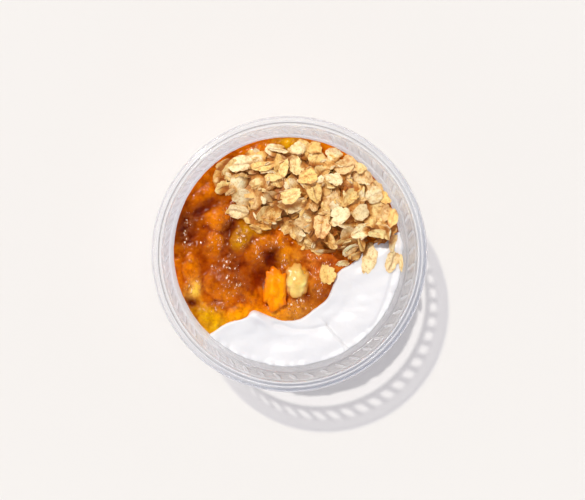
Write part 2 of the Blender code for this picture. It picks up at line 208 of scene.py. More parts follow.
# --------------------------------------------------------------------------
# node helpers
# --------------------------------------------------------------------------
class Nodes:
    def __init__(self, name):
        self.mat = bpy.data.materials.new(name)
        self.mat.use_nodes = True
        self.tree = self.mat.node_tree
        self.tree.nodes.clear()
        self.out = self.add("ShaderNodeOutputMaterial")

    def add(self, kind, **props):
        node = self.tree.nodes.new(kind)
        for key, val in props.items():
            setattr(node, key, val)
        return node

    def link(self, a, b):
        self.tree.links.new(a, b)

    def put(self, socket, value):
        if hasattr(value, "links"):
            self.link(value, socket)
        else:
            socket.default_value = value

    def attr(self, name, out="Color"):
        node = self.add("ShaderNodeAttribute", attribute_name=name)
        return node.outputs[out]

    def coords(self, scale=(1, 1, 1)):
        tc = self.add("ShaderNodeTexCoord")
        mp = self.add("ShaderNodeMapping")
        self.link(tc.outputs["Object"], mp.inputs["Vector"])
        mp.inputs["Scale"].default_value = scale
        return mp.outputs["Vector"]

    def noise(self, vec, scale, detail=3.0, rough=0.55, distort=0.0):
        node = self.add("ShaderNodeTexNoise")
        self.link(vec, node.inputs["Vector"])
        node.inputs["Scale"].default_value = scale
        node.inputs["Detail"].default_value = detail
        node.inputs["Roughness"].default_value = rough
        node.inputs["Distortion"].default_value = distort
        return node.outputs["Fac"]

    def voronoi(self, vec, scale, feature="F1", out="Distance"):
        node = self.add("ShaderNodeTexVoronoi", feature=feature)
        self.link(vec, node.inputs["Vector"])
        node.inputs["Scale"].default_value = scale
        return node.outputs[out]

    def ramp(self, fac, stops, interp="LINEAR"):
        node = self.add("ShaderNodeValToRGB")
        node.color_ramp.interpolation = interp
        els = node.color_ramp.elements
        while len(els) < len(stops):
            els.new(0.5)
        for el, (pos, col) in zip(els, stops):
            el.position = pos
            el.color = (*col, 1.0) if len(col) == 3 else col
        self.link(fac, node.inputs["Fac"])
        return node.outputs["Color"]

    def maprange(self, val, a, b, c, d):
        node = self.add("ShaderNodeMapRange")
        self.link(val, node.inputs["Value"])
        for key, v in zip(("From Min", "From Max", "To Min", "To Max"), (a, b, c, d)):
            node.inputs[key].default_value = v
        return node.outputs["Result"]

    def math(self, op, a, b=0.0, c=0.12):
        node = self.add("ShaderNodeMath", operation=op)
        self.put(node.inputs[0], a)
        self.put(node.inputs[1], b)
        self.put(node.inputs[2], c)
        return node.outputs[0]

    def mix(self, a, b, fac, blend="MIX"):
        node = self.add("ShaderNodeMix", data_type="RGBA", blend_type=blend)
        self.put(node.inputs["Factor"], fac)
        for socket, v in ((node.inputs[6], a), (node.inputs[7], b)):
            if hasattr(v, "links"):
                self.link(v, socket)
            else:
                socket.default_value = (*v, 1.0)
        return node.outputs[2]

    def bump(self, height, strength, distance, normal=None):
        node = self.add("ShaderNodeBump")
        node.inputs["Strength"].default_value = strength
        node.inputs["Distance"].default_value = distance
        self.link(height, node.inputs["Height"])
        if normal is not None:
            self.link(normal, node.inputs["Normal"])
        return node.outputs["Normal"]

    def principled(self, **vals):
        node = self.add("ShaderNodeBsdfPrincipled")
        for key, v in vals.items():
            self.put(node.inputs[key.replace("_", " ")], v)
        return node


# --------------------------------------------------------------------------
# the layout of the food (millimetres at the level of the fill)
# --------------------------------------------------------------------------
FILL_Z, FILL_X, FILL_Y = 42.2 * MM, -0.03, 0.10
REF_Z = 42.0 * MM
REF_R = float(inner_radius(REF_Z))
COMPOTE_EDGE = [(-26.8, -31.0), (-18.1, -28.2), (-15.3, -25.6), (-9.8, -27.3),
                (-2.8, -29.8), (5.5, -29.2), (12.3, -24.4), (17.8, -20.0),
                (20.8, -12.7), (23.0, -7.8), (28.6, -4.6), (35.0, 1.6), (42.0, 6.6)]
A0, A1 = math.radians(-134.0), math.radians(10.5)
EDGE = spline([(REF_R * 1.04 * math.cos(A0) / MM, REF_R * 1.04 * math.sin(A0) / MM)] + COMPOTE_EDGE
              + [(REF_R * 1.04 * math.cos(A1) / MM, REF_R * 1.04 * math.sin(A1) / MM)], 5) * MM
ARC = [(1.3 * REF_R * math.cos(a), 1.3 * REF_R * math.sin(a))
       for a in np.linspace(A1, A0 + 2 * math.pi, 60)]
COMPOTE_LOOP = np.vstack([EDGE, ARC])
HEAP_EDGE = [(-33.5, 27.5), (-27.5, 38.5), (-15.0, 43.6), (-2.0, 45.6), (9.0, 46.8),
             (19.0, 43.0), (30.0, 39.4), (38.5, 31.2), (44.0, 22.0), (48.0, 11.0),
             (47.0, 4.2), (38.5, 3.8), (33.2, -2.6), (27.2, -4.2), (22.0, 1.4),
             (14.5, 1.0), (6.5, 0.4), (1.8, 6.4), (-4.2, 10.4), (-11.5, 9.8),
             (-17.0, 14.0), (-24.5, 16.8), (-28.5, 19.6), (-24.0, 24.0)]
HEAP_LOOP = spline(HEAP_EDGE + [HEAP_EDGE[0]], 3)[:-1] * MM


def fill(x, y):
    return FILL_Z + FILL_X * x + FILL_Y * y


def gap_to_edge(x, y):
    """Distance to the compote's free edge, positive inside the compote."""
    d = segment_distance(x, y, EDGE)
    return np.where(inside(x, y, COMPOTE_LOOP), d, -d)


def spot(x, y, cx, cy, rx, ry, turn=0.0, power=2.0):
    """1 at the middle of a turned ellipse (mm), falling off to 0."""
    a = math.radians(turn)
    dx, dy = x / MM - cx, y / MM - cy
    u = (dx * math.cos(a) + dy * math.sin(a)) / rx
    v = (-dx * math.sin(a) + dy * math.cos(a)) / ry
    return np.exp(-(u * u + v * v) ** (power / 2))


def lump(x, y, cx, cy, rx, ry, turn=0.0):
    """A soft dome: height 1 in the middle, steep but not upright at its edge."""
    a = math.radians(turn)
    dx, dy = x / MM - cx, y / MM - cy
    u = (dx * math.cos(a) + dy * math.sin(a)) / rx
    v = (-dx * math.sin(a) + dy * math.cos(a)) / ry
    q = (np.abs(u) ** 2.2 + np.abs(v) ** 2.2)
    return np.clip(1.0 - q * 0.93, 0, 1) ** 0.75


# soft chunks under the syrup: x, y, half length, half width, turn, height (mm)
LUMPS = [
    (-27.4, -13.6, 10.0, 7.2, -24, 3.0),   # big
    (-31.0, 14.8, 6.4, 6.4, 40, 2.9),      # dome
    (-32.6, 3.8, 5.8, 5.0, 70, 2.3),       # side
    (-21.4, 5.2, 6.6, 5.0, 64, 2.4),       # middle
    (-15.8, 9.2, 4.6, 3.6, 20, 1.7),
    (-8.0, 4.4, 6.6, 4.6, 8, 2.0),         # inner
    (-14.8, 0.2, 4.6, 5.2, 100, 1.5),
    (-42.6, -6.0, 4.6, 7.0, 8, 2.1),       # left
    (-40.4, -15.0, 3.6, 4.6, -20, 1.7),
    (-33.8, -27.2, 7.0, 5.8, -38, 2.2),    # low left
    (-21.8, -25.4, 6.4, 3.6, 14, 1.9),     # low
    (-26.4, -21.4, 8.4, 2.4, 4, 1.2),
    (1.8, -24.0, 9.2, 5.2, 6, 2.2),        # front
    (-4.6, -24.6, 4.2, 4.4, 70, 1.9),
    (3.9, -12.2, 6.2, 8.4, 0, 2.9),
    (-5.4, -14.8, 5.0, 9.0, 0, 2.3),
    (14.2, -12.6, 6.2, 9.0, -24, 2.2),     # right
    (12.4, -3.2, 6.4, 4.2, 10, 1.4),
    (-2.4, -2.0, 3.2, 5.4, 10, 1.6),
    (-36.6, 24.6, 7.4, 4.2, 52, 1.4),
    (-12.5, 44.6, 7.0, 2.8, 8, 1.6),
    (-1.0, 47.2, 7.4, 2.6, -2, 1.8),
    (17.0, 46.4, 6.0, 2.4, -22, 1.2),
    (-24.6, -3.6, 4.4, 3.4, 30, 1.3),
    (-18.4, -17.0, 4.4, 5.4, 30, 1.4),
]
HOLLOWS = [
    (-7.2, -2.4, 3.6, 5.0, 20, 2.6),
    (-12.0, -10.4, 4.6, 6.2, 30, 3.0),
    (-44.0, 9.6, 3.6, 6.4, -10, 2.0),
    (-37.0, 19.8, 6.0, 1.8, 32, 1.7),
    (-42.6, -21.6, 2.0, 2.0, 0, 1.6),
    (-21.4, -3.4, 4.8, 3.4, 0, 1.2),
    (-9.0, -20.4, 4.0, 3.0, 0, 1.2),
    (-25.8, 10.6, 2.6, 5.0, -20, 1.6),
    (8.6, -17.4, 2.0, 3.4, 10, 1.0),
]


def compote_top(x, y):
    wx = x + 1.6 * MM * gnoise(x / (6.5 * MM), y / (6.5 * MM), 0.3, 11) + 0.55 * MM * gnoise(x / (2.3 * MM), y / (2.3 * MM), 2.3, 13)
    wy = y + 1.6 * MM * gnoise(x / (6.5 * MM), y / (6.5 * MM), 7.7, 12) + 0.55 * MM * gnoise(x / (2.3 * MM), y / (2.3 * MM), 9.1, 14)
    h = np.full(np.shape(x), -0.9 * MM)
    top = np.zeros(np.shape(x))
    for cx, cy, rx, ry, turn, height in LUMPS:
        one = height * lump(wx, wy, cx, cy, rx, ry, turn)
        # smooth union keeps a soft valley between neighbours
        k = 0.7
        hh = np.clip(0.5 + 0.5 * (one - top) / k, 0, 1)
        top = top * (1 - hh) + one * hh + k * hh * (1 - hh)
    h = h + top * MM
    for cx, cy, rx, ry, turn, depth in HOLLOWS:
        h = h - depth * MM * spot(wx, wy, cx, cy, rx, ry, turn)
    h = h + 0.45 * MM * fractal(x, y, 0 * x, 4.2 * MM, 2, 21)
    ridge = 1.0 - np.abs(fractal(wx, wy, 0 * x, 3.4 * MM, 2, 27))
    h = h + 0.35 * MM * (ridge - 0.6)
    rough = 0.6 + 0.6 * ease(top / 1.2)
    h = h + 0.12 * MM * rough * fractal(x, y, 0 * x, 1.45 * MM, 2, 31, 0.5)
    return fill(x, y) + h


def yogurt_top(x, y, sd):
    """sd: distance inside the compote's edge (negative on the open yogurt)."""
    d = np.maximum(-sd, 0.0)
    h = np.full(np.shape(x), -1.0 * MM)
    crest = 1.7 + 0.8 * gnoise(x / (9 * MM), y / (9 * MM), 3.1, 41)
    h = h + crest * MM * (1 - ease(d / (9.5 * MM))) ** 1.3
    h = h + 2.0 * MM * spot(x, y, -14.2, -27.4, 3.6, 2.4, -30)
    h = h + 1.0 * MM * spot(x, y, -10.4, -30.0, 5.0, 1.6, -34)
    h = h + 0.8 * MM * spot(x, y, 21.5, -16.5, 5.0, 6.0, 60)
    h = h + 0.9 * MM * spot(x, y, 31.0, -10.0, 8.0, 5.0, 30)
    # a fold lies over its neighbour under the front chunk, with one sharp side
    fold = spline([(-6.0, -30.6), (-2.3, -31.2), (4.0, -33.2), (10.0, -33.0), (17.3, -31.6)], 4) * MM
    dfold = segment_distance(x, y, fold)
    h = h - 0.55 * MM * np.exp(-(dfold / (0.8 * MM)) ** 2) - 0.35 * MM * np.exp(-(dfold / (2.6 * MM)) ** 2)
    notch = spline([(17.3, -31.6), (19.4, -34.0), (21.4, -36.8), (23.8, -38.9), (25.2, -42.8)], 4) * MM
    dn = segment_distance(x, y, notch)
    side = (x - 17.3 * MM) * 0.74 + (y + 31.6 * MM) * 0.66
    step = ease((side + 0.5 * MM) / (1.0 * MM))
    h = h - 0.7 * MM * np.exp(-(dn / (0.6 * MM)) ** 2)
    h = h - 0.9 * MM * step * np.exp(-(dn / (3.6 * MM)) ** 2) + 0.5 * MM * (1 - step) * np.exp(-(dn / (4.0 * MM)) ** 2)
    # a smear dragged along the wall on the right
    smear = spline([(45.8, -8.0), (44.4, -14.0), (42.4, -21.0), (39.4, -28.0), (36.4, -32.4)], 4) * MM
    ds = segment_distance(x, y, smear)
    h = h - 0.55 * MM * np.exp(-(ds / (0.9 * MM)) ** 2) + 0.35 * MM * np.exp(-(ds / (3.0 * MM)) ** 2)
    h = h - 0.6 * MM * spot(x, y, -9.0, -39.0, 9.0, 4.0, 0)
    swirl = fractal(x * 1.0, y * 1.7, 0 * x, 14.0 * MM, 2, 51)
    h = h + 0.55 * MM * swirl
    h = h + 0.05 * MM * fractal(x, y, 0 * x, 2.4 * MM, 2, 61)
    # inside the edge it drops away under the compote
    drop = np.maximum(sd, 0.0)
    h = h - 9.0 * MM * ease((drop - 0.1 * MM) / (3.0 * MM)) - 0.35 * drop
    r = np.hypot(x, y)
    z = fill(x, y) + h
    low_right = np.clip((x * 0.66 - y * 0.75) / np.maximum(r, 1e-6), 0, 1)
    z = z + 4.6 * MM * low_right * ease((r - 22 * MM) / (25 * MM)) * ease(-sd / (6 * MM))
    near = ease((r - (inner_radius(z) - 3.2 * MM)) / (3.2 * MM))
    ang = np.arctan2(y, x)
    ragged = 0.7 + 0.7 * gnoise(np.cos(ang) * 7, np.sin(ang) * 7, 0.4, 63) + 0.7 * gnoise(np.cos(ang) * 19, np.sin(ang) * 19, 0.4, 64)
    return z + ragged * MM * near * near


def compote_foot(ang):
    """Height of the compote's lower edge, as it shows through the wall."""
    wave = 1.5 * gnoise(np.cos(ang) * 6, np.sin(ang) * 6, 0.5, 131) + 0.5 * gnoise(np.cos(ang) * 22, np.sin(ang) * 22, 0.5, 132)
    return COMPOTE_FLOOR + (1.6 + wave) * MM


def heap_top(x, y, grow=0.0):
    ins = inside(x, y, HEAP_LOOP)
    d = segment_distance(x, y, HEAP_LOOP, True)
    d = np.where(ins, d, -d) + grow
    full = (OAT_HI.z - FILL_Z) * 0.78
    h = (0.2 * MM + full * ease(d / (14.0 * MM)) ** 0.8)
    h = h + 0.8 * MM * fractal(x, y, 0 * x, 7.0 * MM, 2, 71)
    return np.where(d > 0, fill(x, y) + h, fill(x, y) - 3 * MM)


def disc_grid(n):
    """A square grid bent onto the unit disc. Returns u, v, quads, ring."""
    g = np.linspace(-1, 1, n + 1)
    a, b = np.meshgrid(g, g, indexing="ij")
    big = np.abs(a) > np.abs(b)
    with np.errstate(divide="ignore", invalid="ignore"):
        phi = np.where(big, math.pi / 4 * b / np.where(a == 0, 1, a),
                       math.pi / 2 - math.pi / 4 * a / np.where(b == 0, 1, b))
    r = np.where(big, a, b)
    u, v = r * np.cos(phi), r * np.sin(phi)
    idx = np.arange((n + 1) * (n + 1)).reshape(n + 1, n + 1)
    quads = np.stack([idx[:-1, :-1], idx[1:, :-1], idx[1:, 1:], idx[:-1, 1:]], -1).reshape(-1, 4)
    ring = np.concatenate([idx[:-1, 0], idx[-1, :-1], idx[:0:-1, -1], idx[0, :0:-1]])
    return u.ravel(), v.ravel(), quads, ring


def food_radius(z, into=0.12 * MM):
    return inner_radius(z) + into


# --------------------------------------------------------------------------
# materials
# --------------------------------------------------------------------------
def plastic_material():
    n = Nodes("clear_plastic")
    vec = n.coords()
    wave = n.noise(vec, 55.0, 2.0)
    bump = n.bump(wave, 0.02, 0.001)
    glass = n.principled(Base_Color=(0.985, 0.99, 1.0, 1.0), Roughness=0.03, IOR=1.48,
                         Transmission_Weight=1.0, Normal=bump)
    # what is seen through is tinted per ring, with painted shade on the side away from the lamp, in the valleys and on
    # the pads
    plain = n.add("ShaderNodeBsdfTransparent")
    n.link(n.attr("wall_tint_and_shade"), plain.inputs["Color"])
    body = n.add("ShaderNodeMixShader")
    body.inputs["Fac"].default_value = 0.58
    n.link(glass.outputs[0], body.inputs[1])
    n.link(plain.outputs[0], body.inputs[2])
    # a milky diffuse layer whose amount per ring is painted: highlight lines on the crests and a lighter wall toward
    # the lamp
    haze_and_highlight = n.add("ShaderNodeBsdfDiffuse")
    haze_and_highlight.inputs["Color"].default_value = (0.93, 0.94, 0.97, 1.0)
    hazy = n.add("ShaderNodeMixShader")
    n.link(n.attr("haze_and_highlight", "Fac"), hazy.inputs["Fac"])
    through = n.add("ShaderNodeBsdfTranslucent")
    through.inputs["Color"].default_value = (0.95, 0.96, 1.0, 1.0)
    both = n.add("ShaderNodeMixShader")
    both.inputs["Fac"].default_value = 0.5
    n.link(haze_and_highlight.outputs[0], both.inputs[1])
    n.link(through.outputs[0], both.inputs[2])
    n.link(body.outputs[0], hazy.inputs[1])
    n.link(both.outputs[0], hazy.inputs[2])
    body = hazy
    # light bounced off the food leaves through the wall almost unhindered
    path = n.add("ShaderNodeLightPath")
    soft = n.add("ShaderNodeBsdfTransparent")
    soft.inputs["Color"].default_value = (0.96, 0.96, 0.97, 1.0)
    inner = n.add("ShaderNodeMixShader")
    n.link(path.outputs["Is Diffuse Ray"], inner.inputs["Fac"])
    n.link(body.outputs[0], inner.inputs[1])
    n.link(soft.outputs[0], inner.inputs[2])
    # lamp light is dimmed where the wall is ribbed or stepped
    clear = n.add("ShaderNodeBsdfTransparent")
    n.link(n.attr("shade"), clear.inputs["Color"])
    mix = n.add("ShaderNodeMixShader")
    n.link(path.outputs["Is Shadow Ray"], mix.inputs["Fac"])
    n.link(inner.outputs[0], mix.inputs[1])
    n.link(clear.outputs[0], mix.inputs[2])
    n.link(mix.outputs[0], n.out.inputs["Surface"])
    return n.mat


def yogurt_material():
    n = Nodes("yogurt_white")
    vec = n.coords()
    blot = n.noise(vec, 90.0, 3.0)
    tint = n.mix(tuple(srgb(230, 228, 230)), tuple(srgb(237, 235, 237)), blot)
    fine = n.noise(vec, 900.0, 2.0)
    soft = n.noise(vec, 260.0, 2.0)
    bump = n.bump(fine, 0.10, 0.0002)
    bump = n.bump(soft, 0.22, 0.0004, bump)
    rough = n.maprange(blot, 0.3, 0.7, 0.30, 0.42)
    bsdf = n.principled(Base_Color=tint, Roughness=rough, IOR=1.36, Normal=bump,
                        Subsurface_Weight=0.35, Subsurface_Radius=(0.0028, 0.0026, 0.0024),
                        Subsurface_Scale=1.0)
    n.link(bsdf.outputs[0], n.out.inputs["Surface"])
    return n.mat


def compote_material(name="compote_amber", rough=0.09, grainy=0.9):
    n = Nodes(name)
    vec = n.coords()
    base = n.attr("tint")
    pulp = n.noise(vec, 480.0, 3.0, 0.55, 0.4)
    cloud = n.noise(vec, 200.0, 3.0, 0.6)
    grain = n.ramp(pulp, [(0.32, (0.84, 0.74, 0.60)), (0.48, (1.0, 1.0, 1.0)), (0.66, (1.18, 1.34, 1.2)), (0.80, (1.3, 1.6, 1.6))])
    col = n.mix(base, grain, grainy, "MULTIPLY")
    deep = n.ramp(cloud, [(0.34, (0.52, 0.35, 0.15)), (0.47, (0.96, 0.94, 0.8)), (0.60, (1.13, 1.17, 0.9))])
    col = n.mix(col, deep, grainy * 0.8, "MULTIPLY")
    # the crinkled places get a painted pinkish sheen, painted dark pits of shade and many tiny painted pale highlights
    patch = n.noise(vec, 420.0, 1.0, 0.5)
    where = n.math("MULTIPLY", n.attr("wrinkle_glint_mask", "Fac"), n.maprange(patch, 0.38, 0.54, 0.0, 1.0))
    col = n.mix(col, tuple(srgb(214, 132, 70)), n.math("MULTIPLY", where, 0.42))
    streak = n.coords((1.6, 0.7, 1.0))
    painted_pit_shade = n.noise(streak, 1250.0, 1.2, 0.6, 0.6)
    painted_pit_shade = n.math("MULTIPLY", n.maprange(painted_pit_shade, 0.47, 0.40, 0.0, 1.0), where)
    # painted shade: dark pits between the painted glints
    col = n.mix(col, tuple(srgb(112, 40, 14)), n.math("MULTIPLY", painted_pit_shade, 0.75))
    painted_glints = n.noise(streak, 1000.0, 1.6, 0.6, 0.8)
    painted_glints = n.maprange(n.math("MULTIPLY_ADD", painted_glints, 1.0, n.math("MULTIPLY_ADD", where, 0.24, -0.24)), 0.50, 0.555, 0.0, 1.0)
    # painted highlights: tiny pale glint specks
    col = n.mix(col, tuple(srgb(255, 230, 206)), n.math("MULTIPLY", painted_glints, 0.9))
    # low, smooth ripples about a millimetre apart: each one catches the lamp as a point
    fine = n.noise(n.coords((1.3, 0.85, 1.0)), 1350.0, 0.8, 0.5, 0.4)
    wide = n.noise(vec, 700.0, 1.0, 0.5)
    wrinkle_glint_mask = n.attr("wrinkle_glint_mask", "Fac")
    tall = n.math("MULTIPLY", fine, n.math("MULTIPLY_ADD", wrinkle_glint_mask, 0.9))
    bump = n.bump(wide, 0.5, 0.00018)
    bump = n.bump(tall, 1.0, 0.00028, bump)
    bsdf = n.principled(Base_Color=col, Roughness=rough, IOR=1.24, Normal=bump,
                        Subsurface_Weight=0.20, Subsurface_Radius=(0.0036, 0.0013, 0.0002),
                        Subsurface_Scale=1.0)
    n.link(bsdf.outputs[0], n.out.inputs["Surface"])
    return n.mat


def oat_material():
    n = Nodes("toasted_oats")
    vec = n.coords()
    base = n.attr("tint")
    fleck = n.noise(vec, 1100.0, 4.0, 0.7)
    mott = n.noise(vec, 380.0, 3.0, 0.6)
    spots = n.ramp(fleck, [(0.32, (0.66, 0.46, 0.28)), (0.47, (1.0, 1.0, 1.0)), (0.68, (1.08, 1.10, 1.14))])
    col = n.mix(base, spots, 0.85, "MULTIPLY")
    warm = n.ramp(mott, [(0.34, (0.88, 0.74, 0.54)), (0.52, (1.03, 1.03, 1.03))])
    col = n.mix(col, warm, 0.8, "MULTIPLY")
    bump = n.bump(mott, 0.40, 0.0005)
    bump = n.bump(fleck, 0.6, 0.00025, bump)
    bsdf = n.principled(Base_Color=col, Roughness=0.5, IOR=1.45, Normal=bump,
                        Subsurface_Weight=0.10, Subsurface_Radius=(0.0010, 0.0006, 0.0003),
                        Subsurface_Scale=1.0, Specular_IOR_Level=0.4)
    n.link(bsdf.outputs[0], n.out.inputs["Surface"])
    return n.mat


def floor_material():
    n = Nodes("pale_floor")
    vec = n.coords()
    soft = n.noise(vec, 6.0, 2.0)
    col = n.mix((0.800, 0.770, 0.746), (0.806, 0.777, 0.755), soft)
    bsdf = n.principled(Base_Color=col, Roughness=0.9, Specular_IOR_Level=0.1)
    n.link(bsdf.outputs[0], n.out.inputs["Surface"])
    return n.mat


PLASTIC = plastic_material()
YOGURT = yogurt_material()
COMPOTE = compote_material()
OATS = oat_material()


# --------------------------------------------------------------------------
# the cup: a thin wall turned from a profile, with slanted pads under the rim
# --------------------------------------------------------------------------
def smooth_path(points, per_span):
    return spline(points, per_span)


def build_cup():
    t = WALL / 2
    path = [(0.0, t), (BASE_R - 6 * MM, t), (BASE_R - 2.2 * MM, t + 0.02 * MM),
            (BASE_R - 0.7 * MM, 0.75 * MM), (BASE_R, 2.0 * MM)]
    low = smooth_path(path[1:], 4)
    wall = [(BASE_R + (LEDGE_R - BASE_R) * k, 2.0 * MM + (LEDGE_Z - 2.2 * MM) * k) for k in (0.25, 0.5, 0.75, 1.0)]
    ledge = smooth_path([wall[-1], (LEDGE_R + 0.35 * MM, LEDGE_Z + 0.45 * MM), (BAND_LOW_R - 0.25 * MM, BAND_LOW_Z - 0.55 * MM),
                         (BAND_LOW_R, BAND_LOW_Z)], 3)[1:]
    band = [(BAND_LOW_R + (BAND_TOP_R - BAND_LOW_R) * k, BAND_LOW_Z + (BAND_TOP_Z - BAND_LOW_Z) * k)
            for k in np.linspace(0, 1, 15)][1:]
    R, H = RIM_R, CUP_H
    rim = smooth_path([band[-1], (R - 4.75 * MM, H - 1.9 * MM), (R - 4.45 * MM, H - 0.75 * MM), (R - 3.95 * MM, H - t),
                       (R - 3.35 * MM, H - 0.65 * MM), (R - 2.85 * MM, H - 0.70 * MM), (R - 2.35 * MM, H - t - 0.05 * MM),
                       (R - 1.75 * MM, H - 0.70 * MM), (R - 1.1 * MM, H - 0.95 * MM), (R - 0.55 * MM, H - 1.0 * MM),
                       (R - t, H - 1.55 * MM), (R - t, H - 2.3 * MM), (R - 0.5 * MM, H - 2.9 * MM)], 3)[1:]
    line = np.vstack([[path[0]], low, wall, ledge, band, rim])
    tang = np.gradient(line, axis=0)
    tang /= np.linalg.norm(tang, axis=1)[:, None]
    nrm = np.stack([tang[:, 1], -tang[:, 0]], 1)
    nrm[0] = (0, -1)
    outer = line + nrm * t
    inner = line - nrm * t
    outer[:, 1] = np.clip(outer[:, 1], 0.0, H)
    outer[0] = (0, 0)
    inner[0] = (0, 2 * t)
    inner[:, 1] = np.clip(inner[:, 1], 0, H)
    outer[:, 0] = np.minimum(outer[:, 0], R)
    end = line[-1] + tang[-1] * t * 0.9
    prof = np.vstack([outer, [end], inner[::-1]])
    seg = RIBS * 12
    k = np.arange(seg)
    ang = 2 * math.pi * k / seg
    verts, shade, haze_and_highlight, wall_tint_and_shade = [], [], [], []
    n = len(prof)
    on_outer = np.arange(n) <= len(outer)
    for i, (r, z) in enumerate(prof):
        f = float(np.clip((z - BAND_LOW_Z) / (BAND_TOP_Z - BAND_LOW_Z), 0, 1))
        env = float(ease(f / 0.16) * ease((1 - f) / 0.16)) if BAND_LOW_Z < z < BAND_TOP_Z and r < BAND_TOP_R + 1.5 * MM else 0.0
        tw = ang + RIB_TWIST * f
        pad = np.abs(np.sin(RIBS / 2 * ang)) ** 0.7 - 0.62
        rr = r + 0.42 * MM * env * pad
        verts.append(np.stack([rr * np.cos(tw), rr * np.sin(tw), np.full(seg, z)], 1))
        # how much lamp light this ring lets through (the square root, as a
        # wall has two faces): it is clear low down, dark at the ledge and the
        # rib band, with a bright patch behind each pad
        if z < LEDGE_Z + 0.1 * MM:
            s = np.full(seg, 1.0)
        elif z < BAND_LOW_Z:
            s = np.full(seg, 0.16)
        elif env > 0 or z < BAND_TOP_Z:
            g = np.exp(-((f - 0.52) / 0.40) ** 4)
            b = np.exp(-np.abs((((RIBS * ang / (2 * math.pi)) % 1.0) - 0.5) / 0.29) ** 3)
            s = 0.22 + 1.1 * g * b
        else:
            s = np.full(seg, 0.50 + 0.30 * math.exp(-((R - r) / (0.9 * MM)) ** 2))
        lower = np.clip(0.5 + 0.75 * (0.66 * np.cos(ang) - 0.75 * np.sin(ang)), 0, 1)[:, None]
        upper = 1 - lower
        # the side toward the lamp stands clear, so the food behind it is lit
        s = s + np.clip(0.95 - s, 0, 1) * 0.9 * upper[:, 0] ** 3
        shade.append(np.clip(s, 0, 1.0) ** 0.5)
        # how milky each ring looks and the tint of what is seen through it, with light and shade painted in:
        # painted highlight lines on the crests and a milkier, lighter wall toward the lamp; painted shade in the
        # valleys, on the inner shoulder, on the pads and on the side away from the lamp; a painted dark line on the
        # lamp side
        hz, tint = np.full(seg, 0.06), np.tile((0.965, 0.96, 0.96), (seg, 1))
        edge_in = (R - r) / MM
        if z >= BAND_TOP_Z - 0.2 * MM:
            crest = max(math.exp(-((edge_in - 3.95) / 0.17) ** 2), 0.9 * math.exp(-((edge_in - 2.35) / 0.17) ** 2),
                        0.9 * math.exp(-((edge_in - 0.2) / 0.2) ** 2))
            line_in = math.exp(-((edge_in - 3.0) / 0.20) ** 2)
            hz = (0.05 + (0.80 * lower[:, 0] + 0.40 * upper[:, 0]) * crest + 0.16 * upper[:, 0]) * (1 - 0.95 * upper[:, 0] * line_in)
            step_in = math.exp(-((edge_in - 4.6) / 0.20) ** 2)
            valley = math.exp(-((edge_in - 3.15) / 0.42) ** 2) + math.exp(-((edge_in - 1.25) / 0.60) ** 2)
            dim = (np.array([0.985, 0.985, 0.99]) - lower * np.array([0.26, 0.22, 0.15]) * valley
                   - upper * (0.92 * line_in + 0.02 * valley) - (0.10 * upper + 0.16 * lower) * step_in)
            tint = np.clip(dim * (1 - crest) + crest, 0.3, 1)
        elif env > 0:
            # painted shade on the pads and painted glints at their edges
            step = k % 12
            pad_dim = np.choose(step, [0.0, 0.20, 0.16, 0.09, 0.06, 0.05, 0.05, 0.07, 0.09, 0.11, 0.04, 0.0])
            glint = np.choose(step, [0.45, 0.0, 0.0, 0.02, 0.03, 0.03, 0.03, 0.02, 0.0, 0.0, 0.04, 0.20])
            hz = 0.05 + 0.62 * upper[:, 0] * (1 - 3.6 * env * pad_dim) + env * glint * lower[:, 0] + 0.7 * env * glint * upper[:, 0]
            tint = (upper * np.array([0.99, 0.995, 1.0]) + lower * np.array([0.875, 0.85, 0.835])) - env * pad_dim[:, None]
        elif z > LEDGE_Z - 0.3 * MM:
            hz = 0.10 + 0.60 * upper[:, 0]
            tint = upper * np.array([0.98, 0.985, 1.0]) + lower * np.array([0.85, 0.835, 0.83])
        haze_and_highlight.append(hz)
        wall_tint_and_shade.append(tint)
    verts = np.vstack(verts)
    shade, haze_and_highlight, wall_tint_and_shade = np.concatenate(shade), np.concatenate(haze_and_highlight), np.vstack(wall_tint_and_shade)
    verts[:, 0] += CX
    verts[:, 1] += CY
    faces = []
    # centre fans
    for i in range(1, n - 2):
        a, b = i * seg, (i + 1) * seg
        kk = (k + 1) % seg
        faces.append(np.stack([a + k, b + k, b + kk, a + kk], 1))
    quads = np.vstack(faces)
    faces = quads.tolist()
    faces += [[0, int(seg + j), int(seg + (j + 1) % seg)] for j in range(seg)]
    last = (n - 1) * seg
    faces += [[last, int(last - seg + (j + 1) % seg), int(last - seg + j)] for j in range(seg)]
    # only the first vertex of the two axis rings is used
    used = np.ones(len(verts), bool)
    used[1:seg] = False
    used[last + 1:] = False
    remap = np.cumsum(used) - 1
    verts, shade, haze_and_highlight, wall_tint_and_shade = verts[used], shade[used], haze_and_highlight[used], wall_tint_and_shade[used]
    faces = [[int(remap[v]) for v in f] for f in faces]
    ob = new_mesh("cup_wall", verts, faces, PLASTIC, True,
                  {"shade": np.clip(shade[:, None] * np.array([0.975, 0.975, 1.02]), 0, 1), "haze_and_highlight": haze_and_highlight, "wall_tint_and_shade": wall_tint_and_shade})
    return ob


cup = build_cup()
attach(cup, "root")
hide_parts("cup")


# --------------------------------------------------------------------------
# yogurt
# --------------------------------------------------------------------------
def settle(u, v, fn, into):
    """Points of the unit disc dropped on the food surface, wall to wall."""
    R = np.full(u.shape, float(food_radius(REF_Z, into)))
    z = None
    for _ in range(3):
        z = fn(u * R, v * R)
        R = food_radius(z, into)
    return u * R, v * R, z


